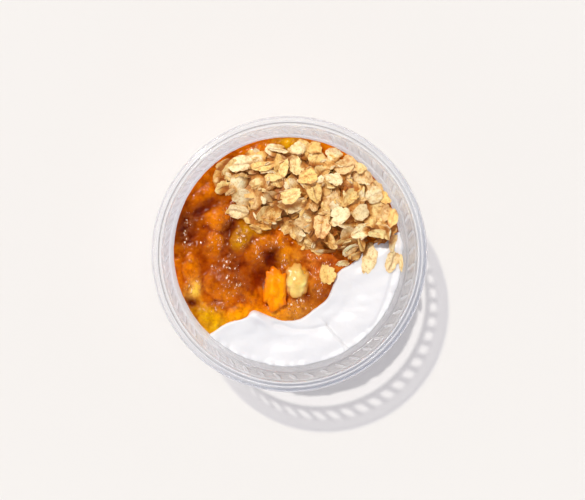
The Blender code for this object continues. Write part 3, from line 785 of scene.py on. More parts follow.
def build_yogurt():
    n = 230
    u, v, quads, ring = disc_grid(n)
    into = 0.10 * MM

    def top(x, y):
        # under the compote it fills up to the wavy foot seen through the wall
        by_wall = ease((np.hypot(x, y) - 38 * MM) / (6 * MM))
        floor = COMPOTE_FLOOR - 0.8 * MM
        floor = floor + (compote_foot(np.arctan2(y, x)) + 0.08 * MM - floor) * by_wall
        return np.maximum(yogurt_top(x, y, gap_to_edge(x, y)), floor)
    x, y, z = settle(u, v, top, into)
    # at the wall under the compote the yogurt stays just below it
    verts = [np.stack([x, y, z], 1)]
    m = len(ring)
    prev = ring
    faces = quads.tolist()
    count = len(x)
    ca, sa = u[ring], v[ring]
    zr = z[ring]
    for frac in (0.75, 0.5, 0.25, 0.0):
        zz = 2.4 * MM + (zr - 2.4 * MM) * frac
        rr = food_radius(zz, into)
        verts.append(np.stack([ca * rr, sa * rr, zz], 1))
        cur = np.arange(count, count + m)
        faces += [[int(prev[i - 1]), int(cur[i - 1]), int(cur[i]), int(prev[i])] for i in range(m)]
        prev = cur
        count += m
    rr = food_radius(1.2 * MM, into) - 1.0 * MM
    verts.append(np.stack([ca * rr, sa * rr, np.full(m, 0.9 * MM)], 1))
    cur = np.arange(count, count + m)
    faces += [[int(prev[i - 1]), int(cur[i - 1]), int(cur[i]), int(prev[i])] for i in range(m)]
    count += m
    verts.append(np.array([[0, 0, WALL + 0.3 * MM]]))
    faces += [[int(cur[i]), int(cur[i - 1]), count] for i in range(m)]
    verts = np.vstack(verts)
    verts[:, 0] += CX
    verts[:, 1] += CY
    return new_mesh("yogurt_fill", verts, faces, YOGURT, True)


yogurt = build_yogurt()
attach(yogurt, "root")
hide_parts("yogurt")


# --------------------------------------------------------------------------
# compote
# --------------------------------------------------------------------------
DEEP, BROWN, AMBER = srgb(108, 34, 2), srgb(156, 64, 3), srgb(204, 100, 3)
ORANGE, BRIGHT, YELLOW = srgb(216, 110, 2), srgb(238, 136, 4), srgb(216, 146, 6)
OLIVE, PALE, RED = srgb(188, 122, 4), srgb(242, 190, 84), srgb(202, 98, 28)
# painted tones: x, y, half sizes, turn, colour, weight. The DEEP tones and some BROWN ones lie over the hollows, so
# they are partly the syrup's colour and partly painted shade
TONES = [
    (-44.0, 9.7, 4.0, 7.5, -12, DEEP, 3.0), (-36.4, 19.9, 7.0, 2.2, 30, DEEP, 2.4),
    (-31.5, 15.5, 5.0, 5.6, 0, AMBER, 2.0), (-37.1, 26.5, 6.0, 4.0, 50, AMBER, 1.6),
    (-41.5, 20.5, 3.5, 4.5, 0, BROWN, 1.2), (-30.5, 33.5, 5.5, 3.0, 45, ORANGE, 1.6),
    (-12.5, 45.0, 7.0, 3.0, 8, ORANGE, 2.0), (-1.0, 48.0, 6.0, 2.4, 0, YELLOW, 2.0),
    (17.3, 46.4, 7.0, 3.0, -20, ORANGE, 1.6), (-16.2, 9.6, 3.2, 3.6, 0, OLIVE, 2.2),
    (-7.4, 7.2, 6.0, 3.8, 0, ORANGE, 2.2), (-5.9, -2.2, 3.4, 5.4, 20, DEEP, 3.2),
    (-12.0, -10.6, 4.4, 6.4, 30, BROWN, 2.4), (-9.6, -7.0, 2.6, 3.6, 20, DEEP, 1.8),
    (-2.2, -1.6, 2.0, 6.0, 10, BRIGHT, 2.2), (13.0, -4.4, 6.4, 4.4, 10, RED, 2.2),
    (15.4, -14.6, 5.0, 6.0, -20, BROWN, 2.2), (12.0, -9.4, 4.0, 4.6, 0, RED, 1.6),
    (-26.6, -11.4, 6.6, 4.8, -24, BROWN, 2.2), (-34.0, -14.0, 4.0, 4.4, 0, AMBER, 1.4),
    (-44.6, -4.6, 3.6, 7.0, 6, ORANGE, 2.8), (-41.0, -15.2, 2.6, 3.4, -20, PALE, 1.4),
    (-28.0, -20.6, 8.0, 3.4, 4, ORANGE, 2.8), (-12.5, -21.2, 5.0, 4.2, 0, ORANGE, 2.0),
    (-33.6, -28.2, 5.6, 4.6, -38, YELLOW, 2.6), (-38.6, -24.6, 3.0, 3.2, 0, OLIVE, 2.0),
    (-21.4, -26.4, 6.0, 2.8, 12, BRIGHT, 2.4), (-42.4, -21.8, 2.2, 2.2, 0, DEEP, 1.8),
    (-21.0, -2.8, 5.2, 4.4, 0, BROWN, 2.2), (-32.4, 4.4, 4.4, 4.6, 0, AMBER, 1.8),
    (-14.6, 0.4, 3.8, 4.6, 0, AMBER, 1.6), (-22.6, 7.4, 3.8, 4.2, 0, OLIVE, 1.8),
    (2.6, -24.6, 7.0, 4.2, 4, srgb(206, 122, 40), 2.4), (-4.8, -25.0, 3.4, 3.2, 0, BRIGHT, 3.0),
    (10.0, -25.0, 3.4, 3.0, 30, BROWN, 1.2), (5.0, -18.8, 4.0, 2.0, 0, BROWN, 1.6),
    (-25.8, 10.8, 2.4, 5.0, -20, DEEP, 1.6), (-38.6, 5.0, 3.0, 6.0, 0, BROWN, 1.6),
    (3.9, -12.4, 4.6, 6.2, 0, srgb(232, 160, 50), 3.0), (-5.0, -15.0, 4.2, 8.0, 0, BRIGHT, 3.0),
    (25.3, 9.0, 6.0, 4.0, 0, ORANGE, 2.0), (-20.0, 24.0, 14.0, 5.0, 30, AMBER, 1.2),
]


# where the syrup is crinkled over fruit and catches the lamp, and where a painted sheen, painted glints and painted
# dark pits of shade go into its colour: x, y, half sizes
WRINKLE_GLINT_SPOTS = [
    (-27.0, 17.7, 3.4, 4.4), (-31.3, 6.1, 3.8, 4.6), (-20.4, 6.8, 2.8, 4.0), (-5.2, 5.4, 3.8, 3.2),
    (-13.2, 0.3, 2.2, 4.0), (-29.1, -5.5, 3.4, 4.4), (-25.5, -12.8, 5.6, 5.4), (-24.8, -4.0, 2.6, 3.6),
    (-41.5, -13.5, 2.8, 4.0), (-44.4, 6.8, 1.8, 4.0), (-43.7, 14.1, 2.0, 2.6), (4.2, -22.2, 5.6, 4.6),
    (-6.6, -24.4, 2.8, 2.8), (13.7, -14.2, 2.4, 4.0), (9.3, -7.7, 3.0, 2.6), (12.2, -1.2, 4.0, 2.0),
    (-31.3, -22.9, 3.8, 2.4), (3.5, -11.3, 3.4, 4.6), (17.0, -5.0, 3.0, 3.0), (-2.0, -4.0, 1.6, 4.0),
    (-18.0, -20.0, 3.0, 1.6), (-8.0, 46.0, 4.0, 2.0), (4.0, 47.5, 4.0, 1.6),
]


def wrinkle_glint_mask(x, y):
    total = np.zeros(x.shape)
    for cx, cy, rx, ry in WRINKLE_GLINT_SPOTS:
        total = np.maximum(total, spot(x, y, cx, cy, rx * 1.25, ry * 1.25, 0, 3.0))
    patchy = 0.65 + 0.6 * fractal(x, y, 0 * x, 2.2 * MM, 2, 151)
    return np.clip(total * patchy, 0, 1)


def tone(x, y):
    total = np.zeros(x.shape + (3,))
    weight = np.zeros(x.shape)
    wx = x + 1.1 * MM * gnoise(x / (3.5 * MM), y / (3.5 * MM), 1.3, 101)
    wy = y + 1.1 * MM * gnoise(x / (3.5 * MM), y / (3.5 * MM), 5.3, 102)
    total += (AMBER * 0.6 + BROWN * 0.4) * 0.12
    weight += 0.12
    for cx, cy, rx, ry, turn, col, w in TONES:
        s = spot(wx, wy, cx, cy, rx * 1.15, ry * 1.15, turn) * w
        total += s[..., None] * col
        weight += s
    return total / weight[..., None]


def soften(grid, radius):
    """Three passes of a box blur over a square grid."""
    for _ in range(3):
        for axis in (0, 1):
            pad = [(0, 0), (0, 0)]
            pad[axis] = (radius + 1, radius)
            c = np.cumsum(np.pad(grid, pad, mode="edge"), axis=axis)
            hi = np.take(c, range(2 * radius + 1, c.shape[axis]), axis=axis)
            lo = np.take(c, range(0, c.shape[axis] - 2 * radius - 1), axis=axis)
            grid = (hi - lo) / (2 * radius + 1)
    return grid


def build_compote():
    n = 290
    u, v, quads, ring = disc_grid(n)
    into = 0.16 * MM
    x, y, z = settle(u, v, compote_top, into)
    sd = gap_to_edge(x, y)
    keep = (sd[quads] > -2.2 * MM).all(1)
    # past its edge the compote sinks under the yogurt
    z = z - 1.0 * MM * ease((-sd + 0.6 * MM) / (2.0 * MM)) - 1.6 * MM * ease(-sd / (1.6 * MM))
    quads = quads[keep]
    used = np.zeros(len(x), bool)
    used[quads.ravel()] = True
    remap = np.cumsum(used) - 1
    top = np.stack([x, y, z], 1)[used]
    # darker and redder where the surface lies low, lighter on the tops: partly the deeper syrup, partly painted shade
    # in the hollows and painted light on the tops
    rel = (z - soften((z - fill(x, y)).reshape(n + 1, n + 1), 8).ravel() - fill(x, y)) / MM
    hollow_syrup_shade, up = np.clip(-rel - 0.05, 0, 2.2)[:, None], np.clip(rel, 0, 1.6)[:, None]
    tint = tone(x, y) * np.exp(-hollow_syrup_shade * np.array([0.70, 1.45, 2.6])) * (1 + up * np.array([0.16, 0.34, 0.20]))
    tint = tint[used]
    wrinkle_glint_top = wrinkle_glint_mask(x, y)[used]
    quads = remap[quads]
    # open edges of the kept part, in order
    edges = {}
    for q in quads.tolist():
        for i in range(4):
            a, b = q[i], q[(i + 1) % 4]
            if (b, a) in edges:
                del edges[(b, a)]
            else:
                edges[(a, b)] = True
    nxt = {a: b for a, b in edges}
    start = next(iter(nxt))
    loop = [start]
    while nxt[loop[-1]] != start:
        loop.append(nxt[loop[-1]])
    loop = np.array(loop)
    m = len(loop)
    ang = np.arctan2(top[loop, 1], top[loop, 0])
    rad = np.hypot(top[loop, 0], top[loop, 1])
    on_wall = rad > food_radius(top[loop, 2], into) - 0.3 * MM
    zlow = compote_foot(ang)
    verts, tints, wrinkle_glint_rows = [top], [tint], [wrinkle_glint_top]
    faces = quads.tolist()
    prev = loop
    count = len(top)
    for frac in (0.75, 0.5, 0.25, 0.0):
        zz = zlow + (top[loop, 2] - zlow) * frac
        rr = np.where(on_wall, food_radius(zz, into), rad)
        verts.append(np.stack([np.cos(ang) * rr, np.sin(ang) * rr, zz], 1))
        side = tone(np.cos(ang) * rr, np.sin(ang) * rr - (1 - frac) * 4 * MM)
        mottle = 1.0 + 0.35 * fractal(np.cos(ang) * rr, np.sin(ang) * rr, zz, 4 * MM, 3, 141)
        tints.append(side * mottle[:, None])
        wrinkle_glint_rows.append(np.full(m, 0.2))
        cur = np.arange(count, count + m)
        faces += [[int(prev[i]), int(prev[i - 1]), int(cur[i - 1]), int(cur[i])] for i in range(m)]
        prev = cur
        count += m
    verts = np.vstack(verts)
    tints = np.vstack(tints)
    # flat underside, hidden in the yogurt
    faces.append([int(i) for i in prev[::-1]])
    verts[:, 0] += CX
    verts[:, 1] += CY
    ob = new_mesh("compote_fill", verts, faces, COMPOTE, True, {"tint": np.clip(tints, 0, 1), "wrinkle_glint_mask": np.concatenate(wrinkle_glint_rows)})
    return ob


compote = build_compote()
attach(compote, "root")


# --------------------------------------------------------------------------
# fruit pieces that stand clear of the syrup
# --------------------------------------------------------------------------
FRUIT = compote_material("fruit_flesh", 0.12, 0.3)


def chunk_mesh(node, turn, square, seed, colours, jag=0.0, lift=0.0, grow=1.0, longer=1.0, shift=0.0):
    lo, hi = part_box(node)
    c = (lo + hi) / 2
    size = (hi - lo) / 2 * grow
    nu, nv = 64, 36
    th = np.linspace(0, 2 * math.pi, nu, endpoint=False)
    ph = np.linspace(0.02, math.pi - 0.02, nv)
    T, P = np.meshgrid(th, ph)
    d = np.stack([np.cos(T) * np.sin(P), np.sin(T) * np.sin(P), np.cos(P)], -1).reshape(-1, 3)
    power = 1 - 0.5 * square
    p = np.sign(d) * np.abs(d) ** power
    a = math.radians(turn)
    w = 1 + 0.20 * gnoise(d[:, 0] * 1.7, d[:, 1] * 1.7, d[:, 2] * 1.2, seed)
    w = w + 0.035 * fractal(d[:, 0], d[:, 1], d[:, 2], 0.35, 3, seed + 3)
    if jag:
        w = w + jag * np.clip(gnoise(d[:, 0] * 3.1, d[:, 1] * 3.1, d[:, 2] * 1.3, seed + 5), -0.6, 0.6)
    q = p * w[:, None]
    q = q / np.abs(q).max(0)
    x = q[:, 0] * size.x
    y = q[:, 1] * size.y * longer + shift * MM
    z = q[:, 2] * size.z * 0.86
    co = np.stack([x + c.x, y + c.y, z + c.z + lift * MM], 1)
    # stay inside the wall
    r = np.hypot(co[:, 0] - CX, co[:, 1] - CY)
    lim = food_radius(co[:, 2], 0.13 * MM)
    k = np.minimum(1.0, lim / np.maximum(r, 1e-9))
    co[:, 0] = CX + (co[:, 0] - CX) * k
    co[:, 1] = CY + (co[:, 1] - CY) * k
    c1, c2, c3 = colours
    f = np.clip(0.5 + 0.9 * fractal(co[:, 0], co[:, 1], co[:, 2], 3.5 * MM, 3, seed + 9), 0, 1)[:, None]
    # toward amber (c3) low down and at the rim: partly the syrup the piece sits in, partly painted shade on its sides
    g = np.clip(0.46 - 0.6 * q[:, 2] + 1.7 * np.clip(np.hypot(q[:, 0], q[:, 1]) - 0.58, 0, 1), 0, 1)[:, None]
    tint = c1 * f + c2 * (1 - f)
    tint = tint * (1 - 0.9 * g) + c3 * 0.9 * g
    faces = []
    for i in range(nv - 1):
        for j in range(nu):
            k2 = (j + 1) % nu
            faces.append([i * nu + j, (i + 1) * nu + j, (i + 1) * nu + k2, i * nu + k2])
    faces.append([int(j) for j in range(nu)])
    faces.append([int((nv - 1) * nu + j) for j in range(nu - 1, -1, -1)])
    return co, faces, tint


def join_parts(name, parts, mat, crisp=0):
    verts, faces, tints, base = [], [], [], 0
    for co, fs, ti in parts:
        verts.append(co)
        tints.append(ti)
        faces += [[v + base for v in f] for f in fs]
        base += len(co)
    co = np.vstack(verts)
    ob = new_mesh(name, co, faces, mat, True, {"tint": np.clip(np.vstack(tints), 0, 1),
                                               "wrinkle_glint_mask": wrinkle_glint_mask(co[:, 0] - CX, co[:, 1] - CY) * (0.0 if name == "fruit_pieces" else 1.0)})
    if crisp:
        ob.data.set_sharp_from_angle(angle=math.radians(crisp))
    return ob


fruit = join_parts("fruit_pieces", [
    chunk_mesh("fruit_chunk_pale", 82, 0.05, 233, (srgb(250, 224, 142), srgb(238, 188, 98), srgb(214, 118, 22)), 0.14, -0.9, 1.20),
    chunk_mesh("fruit_chunk_orange", 78, 0.5, 205, (srgb(255, 172, 12), srgb(252, 140, 2), srgb(232, 104, 4)), 0.30, 0.6, 1.14, 1.10, -1.0),
], FRUIT)
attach(fruit, "root")
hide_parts("fruit_chunk_pale", "fruit_chunk_orange")
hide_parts("compote", "fruit_chunk_front", "fruit_chunk_right", "fruit_chunk_low_left",
            "fruit_chunk_low", "fruit_chunk_left", "fruit_chunk_big", "fruit_chunk_dome",
            "fruit_chunk_side", "fruit_chunk_middle", "fruit_chunk_inner")


# --------------------------------------------------------------------------
# oats: separate flakes, dropped one by one on a core and on each other
# --------------------------------------------------------------------------
OAT_CREAM, OAT_LIGHT, OAT_MID = srgb(255, 236, 192), srgb(255, 225, 162), srgb(252, 206, 122)
OAT_SOAKED, OAT_EDGE, OAT_BROWN = srgb(241, 205, 153), srgb(196, 128, 54), srgb(140, 74, 20)


def flake_shape(length, width, seed, broken=0.0, rings=6, seg=26, thick=0.20, crease=None, ripple=None, toast=None):
    """One rolled oat: a thin, curled and rippled oval with a groove and a torn rim.
    Returns points (mm, lying flat, centre at 0), faces and tints."""
    rs = np.random.RandomState(seed)
    th = np.linspace(0, 2 * math.pi, seg, endpoint=False)
    out = 1 + 0.09 * np.cos(2 * th + rs.uniform(0, 6)) + 0.07 * np.cos(3 * th + rs.uniform(0, 6))
    out = out + 0.055 * rs.normal(size=seg)
    for _ in range(rs.randint(2, 5)):                # tears in the rim
        at = rs.uniform(0, 2 * math.pi)
        out = out - rs.uniform(0.04, 0.20) * np.exp(-((np.angle(np.exp(1j * (th - at)))) / rs.uniform(0.10, 0.22)) ** 2)
    fr = np.linspace(0, 1, rings + 1)[1:] ** 0.85
    px, py, rr = [0.0], [0.0], [0.0]
    for f in fr:
        px += list(f * out * length / 2 * np.cos(th))
        py += list(f * out * width / 2 * np.sin(th))
        rr += [f] * seg
    px, py, rr = np.array(px), np.array(py), np.array(rr)
    if broken > 0:                                   # snap one end off
        cut = length / 2 * (1 - broken * 1.5)
        slant = rs.uniform(-0.5, 0.5)
        lim = cut + slant * py + 0.3 * np.sin(py * 2.3 + rs.uniform(0, 6))
        px = np.minimum(px, lim)
    bend_x, bend_y = rs.uniform(-0.02, 0.045), rs.uniform(-0.02, 0.10)
    mid = bend_x * px ** 2 + bend_y * py ** 2 * 0.6 + rs.uniform(-0.06, 0.06) * px * py * 0.5
    crease = rs.uniform(-0.1, 0.35) if crease is None else crease
    mid = mid + crease * np.abs(py - 0.2 * np.sin(px)) * (rs.uniform() < 0.6)
    ripple = rs.uniform(0.0, 0.11) if ripple is None else ripple
    mid = mid + ripple * np.sin(py * rs.uniform(3.6, 5.2) + 0.5 * np.sin(px) + rs.uniform(0, 6)) * np.clip(1.6 - rr, 0, 1)
    ox, oy = rs.uniform(0, 90), rs.uniform(0, 90)
    mid = mid + 0.30 * gnoise(px / 2.6 + ox, py / 2.6 + oy, 0 * px, 5) * (0.3 + rr)
    mid = mid + 0.13 * gnoise(px / 1.1 + oy, py / 1.1 + ox, 0 * px, 6)
    half = thick * np.sqrt(np.clip(1 - rr ** 3.0, 0.0, 1)) + 0.06
    wig = 0.25 * np.sin(px * 0.9 + rs.uniform(0, 6))
    groove = 0.30 * np.exp(-((py - wig) / 0.34) ** 2) * (np.abs(px) < length * 0.43) * (rr < 0.9)
    has = rs.choice([1.0, 0.5, 0.1, 0.0], p=[0.28, 0.2, 0.2, 0.32])
    up = mid + half - groove * has
    low = mid - half + groove * 0.5
    n = len(px)
    top = np.stack([px, py, up], 1)
    bot = np.stack([px, py, low], 1)
    faces = []
    for i in range(seg):
        j = (i + 1) % seg
        faces.append([0, 1 + i, 1 + j])
        faces.append([n, n + 1 + j, n + 1 + i])
    for r in range(rings - 1):
        a, b = 1 + r * seg, 1 + (r + 1) * seg
        for i in range(seg):
            j = (i + 1) % seg
            faces.append([a + i, b + i, b + j, a + j])
            faces.append([n + a + i, n + a + j, n + b + j, n + b + i])
    a = 1 + (rings - 1) * seg
    for i in range(seg):
        j = (i + 1) % seg
        faces.append([a + i, n + a + i, n + a + j, a + j])
    co = np.vstack([top, bot])
    toast = rs.uniform(0, 1) if toast is None else toast
    if toast < 0.3:
        base = OAT_CREAM * (1 - toast) + OAT_LIGHT * toast
    elif toast < 0.86:
        k = (toast - 0.3) / 0.56
        base = OAT_LIGHT * (1 - k) + OAT_MID * k
    else:
        base = OAT_SOAKED * 0.7 + OAT_MID * 0.3
    base = base * rs.uniform(0.94, 1.10)
    blot = np.clip(0.5 + 0.9 * fractal(co[:, 0] + 40 * rs.uniform(), co[:, 1], co[:, 2], 1.7, 2, seed % 97), 0, 1)
    edge = np.concatenate([rr, rr]) ** 4
    mixw = np.clip(0.45 * edge * blot + 0.5 * (blot > 0.72) * (0.3 + toast), 0, 1)[:, None]
    tint = base * (1 - mixw) + OAT_EDGE * mixw
    gr = np.concatenate([groove, groove * 0.5])[:, None] / 0.30 * has
    tint = tint * (1 - 0.75 * gr) + OAT_BROWN * 0.75 * gr
    return co, faces, tint


def rotation(normal, spin):
    """Matrix whose z axis is normal, turned by spin about it."""
    z = np.array(normal, float)
    z /= np.linalg.norm(z)
    x = np.array([math.cos(spin), math.sin(spin), 0.0])
    x = x - z * x.dot(z)
    x /= np.linalg.norm(x)
    return np.stack([x, np.cross(z, x), z], 1)


class Heap:
    """A height map of what already lies there, to drop flakes on."""
    def __init__(self, step=0.5):
        self.step = step
        self.n = int(110 / step)
        g = (np.arange(self.n) + 0.5) * step - 55.0
        X, Y = np.meshgrid(g, g, indexing="ij")
        x, y = X * MM, Y * MM
        sd = gap_to_edge(x, y)
        base = np.maximum(np.where(sd > -1.0 * MM, compote_top(x, y), -1), yogurt_top(x, y, sd))
        core = heap_top(x, y, -2.0 * MM) - 2.6 * MM
        self.h = np.maximum(base, core) / MM

    def index(self, x, y):
        return (np.clip(((x + 55.0) / self.step).astype(int), 0, self.n - 1),
                np.clip(((y + 55.0) / self.step).astype(int), 0, self.n - 1))

    def slope(self, x, y, span=3.0):
        def at(a, b):
            i, j = self.index(np.array([a]), np.array([b]))
            return self.h[i[0], j[0]]
        return ((at(x + span, y) - at(x - span, y)) / (2 * span),
                (at(x, y + span) - at(x, y - span)) / (2 * span))

    def drop(self, co, x, y, sink=0.8, lift=0.0):
        px, py = co[:, 0] + x, co[:, 1] + y
        i, j = self.index(px, py)
        need = self.h[i, j] - co[:, 2]
        z = np.percentile(need, 100 * sink) + lift
        pz = co[:, 2] + z
        np.maximum.at(self.h, (i, j), pz)
        return np.stack([px, py, pz], 1)


heap = Heap()
flakes = []


def add_flake(x, y, length, width, spin, tilt=None, toward=None, broken=0.0, seed=0, sink=0.8, lift=0.0, follow=0.8,
              flip=False, into=None, shade=None, **shape):
    co, fs, ti = flake_shape(length, width, seed, broken, **shape)
    if shade is not None:
        ti = ti * np.asarray(shade)
    if flip:
        co = co * np.array([1, -1, -1])
    sx, sy = heap.slope(x, y)
    nx, ny = -sx * follow, -sy * follow
    if tilt is not None:
        nx += math.tan(math.radians(tilt)) * math.cos(math.radians(toward))
        ny += math.tan(math.radians(tilt)) * math.sin(math.radians(toward))
    m = rotation((nx, ny, 1.0), math.radians(spin))
    co = co @ m.T
    r = math.hypot(x, y)
    reach = np.hypot(co[:, 0] + x, co[:, 1] + y).max()
    limit = 50.3
    if reach > limit and r > 1:
        k = (r - (reach - limit)) / r
        x, y = x * k, y * k
    co = heap.drop(co, x, y, sink, lift)
    if flip:
        fs = [f[::-1] for f in fs]
    (flakes if into is None else into).append((co * MM, fs, ti))


def scatter(count, seed, inset, length, tilt_sd, sink, broken_share, gap=2.6, into=None, ratio=(0.66, 0.84), **shape):
    """Flakes over the heap's outline shrunk by inset (mm); none is held back at the wall."""
    rs = np.random.RandomState(seed)
    placed = []
    tries = 0
    while len(placed) < count and tries < count * 60:
        tries += 1
        x, y = rs.uniform(-36, 50), rs.uniform(-8, 50)
        px, py = np.array([x * MM]), np.array([y * MM])
        if not inside(px, py, HEAP_LOOP)[0]:
            continue
        rad = math.hypot(x, y)
        short = segment_distance(px, py, HEAP_LOOP, True)[0] < inset * MM
        if rad > 49.0 - 0.35 * length or (short and rad < 44.0):
            continue
        near = min([math.hypot(x - a, y - b) for a, b in placed[-400:]] or [99])
        if near < gap and rs.uniform() < 0.85:
            continue
        placed.append((x, y))
        L = max(rs.normal(length, 0.11 * length), 0.5 * length)
        add_flake(x, y, L, L * rs.uniform(*ratio), rs.uniform(0, 360),
                  abs(rs.normal(0, tilt_sd)), rs.uniform(0, 360),
                  broken=rs.uniform(0.15, 0.5) if rs.uniform() < broken_share else 0.0,
                  seed=seed * 1000 + len(placed), sink=sink, flip=rs.uniform() < 0.4, into=into, **shape)


bits = []
scatter(95, 3, 2.6, 8.8, 14, 0.82, 0.4)
scatter(60, 8, 1.6, 4.6, 30, 0.80, 0.7, 2.0, bits, (0.3, 0.7), rings=3, seg=14, thick=0.18)
scatter(92, 4, 3.0, 9.6, 18, 0.86, 0.4, 3.2)
scatter(110, 9, 1.0, 4.0, 34, 0.80, 0.7, 2.0, bits, (0.25, 0.65), rings=3, seg=14, thick=0.2)

# flakes that stand out, one by one: x, y, length, width, turn, tilt, way, lift,
# broken, extra shape
SHOWN = [
    (17.0, -8.8, 9.6, 7.2, 84, 8, 200, 0.1, 0.0, dict(crease=0.22, ripple=0.03)),
    (35.4, -2.2, 14.0, 7.2, 76, 4, 0, 0.0, 0.0, dict(crease=0.0, ripple=0.02)),
    (45.4, 5.6, 8.6, 6.4, 60, 6, 180, 0.0, 0.2, dict(crease=0.0, ripple=0.02)),
    (45.6, -3.0, 9.6, 6.6, 66, 5, 180, 0.0, 0.1, dict(crease=0.05, ripple=0.05)),
    (50.4, -4.0, 8.0, 3.0, 84, 58, 180, 0.4, 0.0, dict(crease=0.0, ripple=0.02)),
    (27.0, 2.4, 9.2, 7.2, 30, 14, 250, 0.6, 0.2, dict(crease=0.25, ripple=0.08)),
    (31.0, 4.6, 8.0, 5.4, -40, 18, 20, 0.6, 0.0, dict(crease=0.2)),
    (29.4, -0.6, 7.6, 5.4, 10, 10, 280, 0.5, 0.3, {}),
    (23.8, -4.0, 5.6, 4.6, 40, 12, 250, 0.3, 0.0, dict(crease=0.1)),
    (16.2, 1.2, 10.0, 3.4, -6, 40, 270, 0.4, 0.0, dict(crease=0.0)),
    (31.0, 9.6, 9.6, 6.0, 16, 14, 100, 0.5, 0.0, dict(ripple=0.16)),
    (38.0, 9.0, 8.4, 5.4, -10, 18, 60, 0.4, 0.2, dict(ripple=0.14)),
    (-21.9, 18.6, 9.6, 6.4, -8, 6, 200, 0.2, 0.0, dict(crease=0.12)),
    (-10.4, 13.0, 10.0, 6.4, 0, 8, 90, 0.2, 0.3, dict(ripple=0.16)),
    (-13.6, 11.0, 8.0, 5.0, 24, 16, 200, 0.2, 0.4, dict(ripple=0.16)),
    (-28.2, 28.6, 8.2, 6.2, 30, 12, 120, 0.3, 0.0, {}),
    (-24.4, 27.0, 7.0, 4.0, 60, 30, 300, 0.4, 0.4, {}),
    (-20.8, 38.4, 11.0, 7.6, 4, 6, 150, 0.3, 0.0, dict(crease=0.0, ripple=0.03)),
    (-10.4, 37.6, 12.4, 6.6, 20, 10, 110, 0.7, 0.0, dict(crease=0.0, ripple=0.03)),
    (-5.0, 44.6, 9.4, 3.8, -12, 34, 100, 0.4, 0.0, dict(crease=0.0)),
    (3.6, 45.4, 7.6, 5.4, 0, 6, 90, 0.2, 0.0, dict(crease=0.0)),
    (11.5, 46.0, 7.4, 6.0, 10, 10, 100, 0.3, 0.2, {}),
    (2.2, 37.4, 9.6, 5.2, 78, 26, 20, 0.7, 0.0, dict(crease=0.2)),
    (-2.6, 36.4, 8.0, 4.0, 70, 34, 200, 0.5, 0.0, dict(ripple=0.14)),
    (19.0, 32.0, 8.8, 7.0, 84, 8, 180, 0.9, 0.2, dict(crease=0.0, ripple=0.03)),
    (25.0, 24.4, 9.8, 5.6, 62, 14, 330, 0.9, 0.0, dict(crease=0.05, ripple=0.02)),
    (1.0, 21.6, 12.6, 9.2, 10, 8, 250, 0.8, 0.0, dict(crease=0.05, ripple=0.03)),
    (0.0, 24.6, 9.4, 6.4, 16, 6, 90, 0.6, 0.0, dict(crease=0.0)),
    (13.7, 11.8, 10.6, 7.8, 86, 12, 180, 0.7, 0.1, dict(crease=0.0, ripple=0.17)),
    (21.4, 16.4, 11.0, 7.0, 34, 12, 250, 0.6, 0.0, dict(crease=0.1)),
    (30.6, 17.8, 9.0, 6.6, 10, 6, 90, 0.6, 0.0, dict(crease=0.0, ripple=0.02)),
    (33.4, 36.4, 8.6, 7.4, 0, 10, 220, 0.5, 0.0, dict(crease=0.15)),
    (34.8, 31.6, 9.0, 5.6, -50, 24, 40, 0.5, 0.0, {}),
    (8.0, 33.0, 9.6, 6.4, 20, 10, 300, 0.6, 0.2, {}),
    (10.4, 26.0, 9.2, 7.0, 110, 12, 30, 0.7, 0.3, {}),
    (41.6, 17.6, 9.2, 6.4, 40, 14, 200, 0.4, 0.1, {}),
    (45.6, 15.4, 8.4, 5.0, 72, 34, 190, 0.4, 0.0, dict(ripple=0.1)),
    (20.0, 44.0, 8.6, 5.8, -24, 10, 250, 0.5, 0.2, {}),
    (27.4, 40.6, 8.8, 6.0, -34, 12, 230, 0.5, 0.0, dict(ripple=0.1)),
    (32.0, 38.4, 7.0, 4.2, -60, 30, 220, 0.4, 0.3, {}),
    (38.6, 29.0, 9.0, 5.4, -58, 22, 215, 0.5, 0.0, {}),
    (42.0, 24.4, 8.4, 5.0, -66, 26, 210, 0.5, 0.2, {}),
    (36.4, 25.4, 8.8, 6.6, 30, 10, 100, 0.6, 0.0, {}),
    (24.0, 37.6, 9.4, 6.8, 10, 8, 40, 0.6, 0.1, {}),
]
PINK, SOAKED = (0.98, 0.93, 0.84), (1, 2, 3, 4, 12, 20, 26, 30)
for k, (x, y, L, W, turn, tilt, way, lift, cut, more) in enumerate(SHOWN):
    add_flake(x, y, L, W, turn, tilt, way, broken=cut, seed=9100 + 3 * k, sink=0.9, lift=lift,
              shade=PINK if k in SOAKED else (1.05, 1.04, 1.02), toast=0.12 if k in SOAKED else None, **more)
scatter(40, 12, 2.0, 3.6, 40, 0.80, 0.7, 2.4, bits, (0.22, 0.5), rings=3, seg=14, thick=0.18)


def paint_hollow_shade():
    """Hollows between the flakes are darker: painted shade on the flakes that lie below the heap's top."""
    high = heap.h.copy()
    for axis in (0, 1):
        high = np.max([np.roll(high, k, axis=axis) for k in range(-3, 4)], axis=0)
    high = soften(high, 1)
    for group in (flakes, bits):
        for k, (co, fs, ti) in enumerate(group):
            i, j = heap.index(co[:, 0] / MM, co[:, 1] / MM)
            deep = np.clip(high[i, j] - co[:, 2] / MM - 1.9, 0, 2.4)[:, None]
            group[k] = (co, fs, ti * np.exp(-deep * np.array([0.31, 0.60, 1.08])))


paint_hollow_shade()


